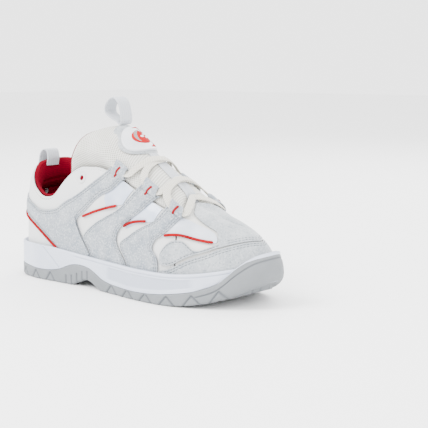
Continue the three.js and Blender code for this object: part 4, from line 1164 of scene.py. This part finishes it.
t_grid, w_grid = tongue_grid(170, 120)
tongue_base, tongue_normal = skin(t_grid, w_grid), outward(t_grid, w_grid)
tongue_rim = rim_distance(tongue_base)
tongue_top = tongue_outer(t_grid, w_grid)
root_thin = 1 - 0.6 * smooth(t_grid, 0.6, 0.76)
mesh_top = tongue_top - roll(tongue_rim, 3.8) * root_thin
mesh_low = tongue_top - TONGUE_PAD * root_thin + roll(tongue_rim, 3.6) * root_thin
pad = shell(
    "mesh_tongue",
    tongue_base + tongue_normal * mesh_top[..., None],
    tongue_base + tongue_normal * mesh_low[..., None],
)
settle(pad, TONGUE_MESH, "tongue_mesh", "tongue", "tongue")

lining_low = mesh_low - 0.95 + 0.3 * roll(tongue_rim, 0.8)
backing = shell(
    "knit_tongue_lining",
    tongue_base + tongue_normal * (mesh_low - 0.2)[..., None],
    tongue_base + tongue_normal * lining_low[..., None],
)
rear_line = (tongue_base + tongue_normal * (mesh_top - 0.6)[..., None])[0]
rear_up = tongue_normal[0]
rear_shares = np.linspace(0.02, 0.98, 160)
run = np.concatenate([[0], np.cumsum(np.linalg.norm(np.diff(rear_line, axis=0), axis=1))])
rear_line = np.stack([np.interp(rear_shares * run[-1], run, rear_line[:, c]) for c in range(3)], -1)
rear_up = unit(np.stack([np.interp(rear_shares * run[-1], run, rear_up[:, c]) for c in range(3)], -1))
join(backing, ribbon("rolled_edge", rear_line + (-0.9, 0, 0), rear_up, 3.2, 4.2, 1.0, 12, 2.0))
settle(backing, LINING, "red_textile", "tongue", "tongue_lining")
for piece in (pad, backing):
    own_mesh(piece)

# %% Patch, badge and keeper strip
crown_depth = -1.8


def patch_shape(s):
    """Top and underside of the patch: a turned-down rim and a dent where it is sewn."""
    top = crown_depth + 1.75 - 1.1 * np.clip((s - 0.93) / 0.07, 0, 1) ** 2
    return top - 0.25 * groove(s - 0.88, 0.04), crown_depth + 0.3 + 0 * s


patch = disc("suede_tongue_patch", 0.441, 1.0, 23.5, 18.5, patch_shape, rings=40, spokes=90)
settle(patch, GUARD_SUEDE, "grey_suede", "tongue", "tongue_patch")

BADGE_T, BADGE_R = 0.458, 16.2
badge_base = crown_depth + 1.8


def badge_face(s):
    """Height of the badge: a low dome inside a rounded rim."""
    dome = badge_base + 1.5 + 0.35 * (1 - s**2)
    return dome + 0.3 * groove(s - 0.95, 0.07) - 1.2 * np.clip((s - 0.96) / 0.04, 0, 1) ** 2


badge_shape = lambda s: (badge_face(s), badge_base - 0.2 + 0 * s)
badge = disc("moulded_tongue_badge", BADGE_T, 1.0, BADGE_R, BADGE_R, badge_shape, rings=40, spokes=90)
settle(badge, BADGE, "badge_plastic", "tongue", "tongue_badge")


def emblem(name, a, b, material, lift=0.0):
    """A raised colour field: a drawn grid in mm, 0.28 mm and its lift above the dome, rims let down."""
    s = np.hypot(a, b) / BADGE_R
    rim_gap = rim_distance(np.stack([a, b, 0 * a], -1))
    top = badge_face(s) + 0.28 + lift - roll(rim_gap, 0.25)
    outer, inner = spread(BADGE_T, 1.0, a, b, top), spread(BADGE_T, 1.0, a, b, badge_face(s) - 0.3)
    settle(shell(name, outer, inner), material, "badge_plastic", "tongue")


def arc_band(start, end, inner, outer, centre, count=60):
    """A bow between two radii round a centre, pinched to points at both ends."""
    u, v = np.linspace(0, 1, count)[:, None], np.linspace(0, 1, 12)[None, :]
    angle = np.radians(lerp(start, end, u))
    bow = np.sin(np.pi * np.clip(u, 0.02, 0.98)) ** 0.6
    middle = (inner + outer) / 2
    radius = middle + (v - 0.5) * (outer - inner) * bow
    return centre[0] + radius * np.cos(angle), centre[1] + radius * np.sin(angle)


def round_field(centre, radius, count=30):
    """A filled disc as a square grid bent into a circle."""
    u, v = np.linspace(-1, 1, count)[:, None], np.linspace(-1, 1, count)[None, :]
    a, b = u * np.sqrt(1 - v**2 / 2), v * np.sqrt(1 - u**2 / 2)
    return centre[0] + radius * a, centre[1] + radius * b


emblem("badge_crescent", *arc_band(5, 190, 10.6, 15.0, (0, 0)), BADGE_RED)
emblem("badge_lane", *arc_band(200, 300, 9.5, 12.5, (1.0, 5.5)), BADGE_GREY)
emblem("badge_ball", *round_field((0.5, -0.5), 8.2), BADGE_RED)
for number, hole in enumerate([(-2.4, 2.6), (1.4, 3.6), (0.0, -0.6)]):
    emblem(f"badge_ball_hole_{number}", *round_field(hole, 1.3, 12), BADGE, 0.3)

u, v = crowded(90)[:, None], crowded(24)[None, :]
strip_t, strip_w = lerp(0.525, 0.766, u) + 0 * v, lerp(0.915, 1.085, v) + 0 * u
cross_share = np.abs(2 * v - 1) + 0 * u
strip_sink = -5.6 * smooth(strip_t, 0.715, 0.762)
strip = laid(
    "webbing_keeper_strip", strip_t, strip_w, crown_depth + 1.1 + strip_sink, 0.7, 0.25, 0.0, (),
    0.3 * groove(cross_share - 0.8, 0.2),
)
settle(strip, WEBBING, "white_webbing", "tongue", "tongue_webbing")

# %% [markdown]
# ## Pull loops
# Woven tape, folded over and stitched down at both ends. Tape is flat and only bends one way, so it is
# one section carried along a curve that lies in the middle plane of the shoe.


# %% Loops
def tape(name, profile, count, closed):
    """Tape of 15 x 1.5 mm whose middle follows (x, z) points in the shoe's middle plane."""
    shares = np.linspace(0, 1, count + 1)[:-1] if closed else np.linspace(0, 1, count)
    flat = spline(profile, shares, closed)
    line = np.column_stack([flat[:, 0], 0 * flat[:, 0], flat[:, 1]])
    ahead = unit(np.roll(line, -1, 0) - np.roll(line, 1, 0))
    if not closed:
        ahead[0], ahead[-1] = unit(line[1] - line[0]), unit(line[-1] - line[-2])
    up = np.column_stack([-ahead[:, 2], 0 * ahead[:, 0], ahead[:, 0]])
    return ribbon(name, line, up, 15, 1.5, 0.35, 32, 0.8, closed)


tip = lift(0.355, 1.0, crown_depth)
TONGUE_LOOP = [
    (2.2, 4.8), (1.6, 13), (-2, 22.5), (-9, 26), (-17, 20), (-18, 12.5), (-11, 7.4), (-3.2, 4.2), (-0.2, 2),
]
tongue_loop = tape("webbing_tongue_loop", [(tip[0] + x, tip[2] + z) for x, z in TONGUE_LOOP], 120, True)
settle(tongue_loop, WEBBING, "white_webbing", "tongue_loop", "tongue_pull_loop")

heel_top = lift(0.0, top_line(0), 0)


def on_heel(w, depth):
    """Place in the shoe's middle plane at the heel, as (x, z)."""
    p = lift(0.0, w, depth)
    return p[0], p[2]


OVER_HEEL = [(0.4, 5.5), (4, 10), (9.5, 10.5), (12.2, 4), (11.2, -1.5), (10.6, -5)]
HEEL_LOOP = [
    on_heel(0.31, 0.85), on_heel(0.36, 0.85), on_heel(top_line(0) - 0.01, 0.85),
    *[(heel_top[0] + x, heel_top[2] + z) for x, z in OVER_HEEL],
]
settle(tape("webbing_heel_loop", HEEL_LOOP, 110, False), WEBBING, "white_webbing", "shoe", "heel_pull_loop")

# %% [markdown]
# ## Bar tacks and stitches
# The strap ends are locked by a short, dense bar of red thread that climbs over the fold. All other
# seams are ordinary lockstitch: each visible stitch is a small lens of thread, 2.3 mm long, lying in
# its dent, and all stitches of a group are placed at once as copies of one small shape.

# %% Bar tacks
TACKS = {
    "heel_strap": [(0.463, 0.485), (0.482, 0.57)],
    "middle_strap": [(0.589, 0.525), (0.611, 0.62)],
    "front_strap": [(0.699, 0.53), (0.714, 0.625)],
}
for strap, path in TACKS.items():
    loop_t, loop_w, _ = LOOPS[strap]
    for label, side in SIDES:
        q, w, at, up = on_last(path, 60, side)
        per_w = STEP / np.linalg.norm(skin(loop_t * side, loop_w + STEP) - skin(loop_t * side, loop_w))
        across = np.clip(np.abs(w - loop_w) / per_w / 6.0, 0, 1)
        height = np.maximum(0.2 + 2.6 * np.sqrt(1 - across**2), 0.25)
        line = at + up * (height + 0.05)[:, None]
        piece = ribbon(f"thread_{strap}_tack_{label}", line, up, 2.4, 1.1, 0.8, 12, 0.9)
        settle(piece, TACK_THREAD, "red_trim", "shoe", f"{strap}_tack_{label}")


# %% Stitches
def lens_shape(length, width, height, rings, sides):
    """Points of one stitch: a small ellipsoid, its ends pinched."""
    along = np.linspace(-np.pi / 2, np.pi / 2, rings)[:, None]
    angle = np.linspace(0, 2 * np.pi, sides + 1)[:-1][None, :]
    size = np.maximum(np.cos(along), 0.15)
    a = np.sin(along) * length / 2 + 0 * angle
    b, c = size * np.cos(angle) * width / 2, size * np.sin(angle) * height / 2
    return np.stack([a, b, c], -1).reshape(-1, 3)


STITCH_RINGS, STITCH_SIDES, STITCH_PITCH = 5, 6, 3.1
STITCH = lens_shape(2.3, 0.62, 0.5, STITCH_RINGS, STITCH_SIDES)


def sew(name, rows, material, slot, body, depth=-0.38):
    """Stitches along rows of (q, w): each row is walked by length and a lens is copied to every step."""
    everything = []
    for q, w in rows:
        line = skin(q, w)
        run = np.concatenate([[0], np.cumsum(np.linalg.norm(np.diff(line, axis=0), axis=1))])
        at = np.arange(STITCH_PITCH / 2, run[-1], STITCH_PITCH)
        q_at, w_at = np.interp(at, run, q), np.interp(at, run, w)
        up = outward(q_at, w_at)
        centre = skin(q_at, w_at) + up * depth
        before, after = [
            np.stack([np.interp(at + shift, run, line[:, c]) for c in range(3)], -1) for shift in (-0.5, 0.5)
        ]
        ahead = after - before
        ahead = unit(ahead - up * (ahead * up).sum(-1, keepdims=True))
        side = np.cross(up, ahead)
        turned = [STITCH[None, :, c, None] * way[:, None] for c, way in enumerate((ahead, side, up))]
        everything.append((centre[:, None] + sum(turned)).reshape(-1, 3))
    points = np.concatenate(everything)
    count = STITCH_RINGS * STITCH_SIDES
    first = (np.arange(len(points) // count) * count)[:, None, None]
    one = grid_faces(STITCH_RINGS, STITCH_SIDES, wrap=True)
    faces = [tuple(f) for f in (first + one[None]).reshape(-1, 4)]
    ends = np.arange(STITCH_SIDES)
    caps = np.stack([ends[::-1], ends + count - STITCH_SIDES])
    faces += [tuple(f) for f in (first + caps[None]).reshape(-1, STITCH_SIDES)]
    mesh = bpy.data.meshes.new(name)
    mesh.from_pydata((points * MM + SHIFT).tolist(), [], faces)
    mesh.polygons.foreach_set("use_smooth", np.ones(len(mesh.polygons), bool))
    work = bmesh.new()
    work.from_mesh(mesh)
    bmesh.ops.recalc_face_normals(work, faces=work.faces)
    work.to_mesh(mesh)
    work.free()
    piece = bpy.data.objects.new(name, mesh)
    bpy.context.scene.collection.objects.link(piece)
    return settle(piece, material, slot, body)


def beside(first, second, distance, start=0.03, end=0.95, count=160):
    """The row that runs beside the first edge, distance mm towards the second."""
    u = np.linspace(start, end, count)
    (qa, wa), (qb, wb) = first(u), second(u)
    width = np.linalg.norm(skin(qb, wb) - skin(qa, wa), axis=-1)
    share = np.clip(distance / np.maximum(width, 2 * distance), 0, 0.5)
    return lerp(qa, qb, share), lerp(wa, wb, share)


for label, side in SIDES:
    rows = []
    for rear, front, _, _ in STRAPS.values():
        a, b = edge(rear, side), edge(front, side)
        for distance in (1.9, 4.3):
            rows += [beside(a, b, distance), beside(b, a, distance)]
    sew(f"stitching_straps_{label}", rows, STITCH_THREAD_AND_DENT_SHADE, "grey_suede", "shoe")
    t = np.linspace(0.02, 0.44, 240)
    level = top_line(t, side)
    per = np.linalg.norm(skin(t * side, level) - skin(t * side, level - 0.02), axis=-1) / 0.02
    collar_row = (t * side, level - 2.6 / per)
    sew(f"stitching_collar_{label}", [collar_row], STITCH_THREAD_AND_DENT_SHADE, "white_leather", "shoe", -2.45)
    finger = [beside(edge(FINGER_LOW, side), edge(FINGER_HIGH, side), 1.6, 0.05, 0.8)]
    finger += [beside(edge(FINGER_HIGH, side), edge(FINGER_LOW, side), 1.6, 0.05, 0.9)]
    sew(f"stitching_finger_{label}", finger, STITCH_THREAD_AND_DENT_SHADE, "grey_suede", "shoe")

guard_rows = []
for distance, base_gap in ((1.9, -0.008), (4.0, -0.008), (-1.9, 0.008), (-4.0, 0.008)):
    q = np.linspace(0.69, 1.31, 260)
    level = guard_line(share_of(q)) + base_gap
    per = np.linalg.norm(skin(q, level) - skin(q, level - 0.02), axis=-1) / 0.02
    keep = slice(0, len(q)) if distance > 0 else slice(75, len(q) - 75)
    guard_rows.append((q[keep], (level - distance / per)[keep]))
sew("stitching_toe", guard_rows, STITCH_THREAD_AND_DENT_SHADE, "grey_suede", "shoe")

# %% [markdown]
# ## The lace
# One flat plaited cotton lace goes through the six folds and crosses over the tongue three times; its
# ends are tucked in beside the tongue. Its route is a list of given points, each with its
# share along the shoe, its share up the arc and its height over the last.

# %% Lace
START = [
    (0.426, 0.42, -8.6), (0.429, 0.465, -8.65), (0.432, 0.515, -8.2),
    (0.438, 0.55, -3.1), (0.451, 0.557, 0.1),
]
THROUGH = [(0.479, 0.555, 0.019), (0.604, 0.61, 0.019), (0.708, 0.6, 0.019)]


def through(index, far):
    """Three points through a fold, on the near or the far side of the foot."""
    t, w, reach = THROUGH[index]
    return [(t + share * reach, 2 - w if far else w, 0.2) for share in (-1.15, 0, 1.15)]


CROSS_HIGH, CROSS_LOW = 2.1, 0.5
FIRST_HALF = [
    *START, *through(0, False),
    (0.514, 0.572, 0.3), (0.534, 0.68, 0.8), (0.553, 0.85, 1.6), (0.564, 1, CROSS_HIGH),
    (0.564, 1.14, 1.5), (0.562, 1.26, 0.8), (0.566, 1.35, 0.4),
    *through(1, True),
    (0.637, 1.372, 0.3), (0.655, 1.27, 0.6), (0.664, 1.13, 1.5), (0.667, 1, CROSS_HIGH),
    (0.665, 0.88, 1.5), (0.661, 0.75, 0.6), (0.664, 0.655, 0.4),
    *through(2, False),
    (0.742, 0.64, 0.4), (0.747, 0.75, 0.4), (0.746, 0.88, 0.4), (0.745, 1, CROSS_LOW),
]
second_half = [(t, 2 - w, min(depth, CROSS_LOW)) for t, w, depth in FIRST_HALF[-2::-1]]
route = np.array(FIRST_HALF + second_half)
shares = np.linspace(0, 1, 700)
lace_line = spline(lift(route[:, 0], route[:, 1], route[:, 2]), shares)
lace_up = unit(spline(outward(route[:, 0], route[:, 1]), shares))
lace = ribbon("plaited_lace", lace_line, lace_up, 6.8, 1.35, 0.62, 16, 1.5)
settle(lace, LACE, "lace_cotton", "shoe", "lace")
print("lace length in mm:", round(float(np.linalg.norm(np.diff(lace_line, axis=0), axis=1).sum())))

# %% [markdown]
# ## Floor and light
# A wide white floor, one large soft lamp high on the left and two weaker ones. The white surroundings
# fill the shadows, so what is left is soft and short, right under the shoe.

# %% Floor, lamps and world
floor_mesh = bpy.data.meshes.new("floor")
FLOOR = 6.0
floor_corners = [(FLOOR * x, FLOOR * y, 0) for x, y in ((-1, -1), (1, -1), (1, 1), (-1, 1))]
floor_mesh.from_pydata(floor_corners, [], [(0, 1, 2, 3)])
floor = bpy.data.objects.new("floor", floor_mesh)
bpy.context.scene.collection.objects.link(floor)
floor_material, floor_tree, floor_bsdf = finish("painted_white_floor", 0.9)
floor_at = place_of(floor_tree)
floor_tone = mix(floor_tree, noise(floor_tree, 400, floor_at), linear("f7f7f7"), linear("f4f4f4"))
floor_tree.links.new(floor_tone, floor_bsdf.inputs["Base Color"])
floor_mesh.materials.append(floor_material)


def lamp(name, place, size, power_w):
    """A square soft lamp that faces the shoe's middle."""
    data = bpy.data.lights.new(name, "AREA")
    data.shape = "SQUARE"
    data.size = size
    data.energy = power_w
    made = bpy.data.objects.new(name, data)
    made.location = place
    away = np.array(place) - (0, 0, 0.06)
    flat = math.hypot(away[0], away[1])
    made.rotation_euler = (math.atan2(flat, away[2]), 0, math.atan2(away[1], away[0]) + math.pi / 2)
    bpy.context.scene.collection.objects.link(made)


lamp("key", (-0.5, -1.1, 1.5), 1.0, 62)
lamp("fill", (1.3, -0.3, 0.9), 1.0, 16)
lamp("back", (-0.2, 1.2, 1.2), 1.2, 24)
WORLD_STRENGTH = 3.2
world = bpy.data.worlds.new("studio")
world.use_nodes = True
surround = world.node_tree.nodes["Background"]
surround.inputs["Color"].default_value = linear("ffffff")
surround.inputs["Strength"].default_value = WORLD_STRENGTH
bpy.context.scene.world = world
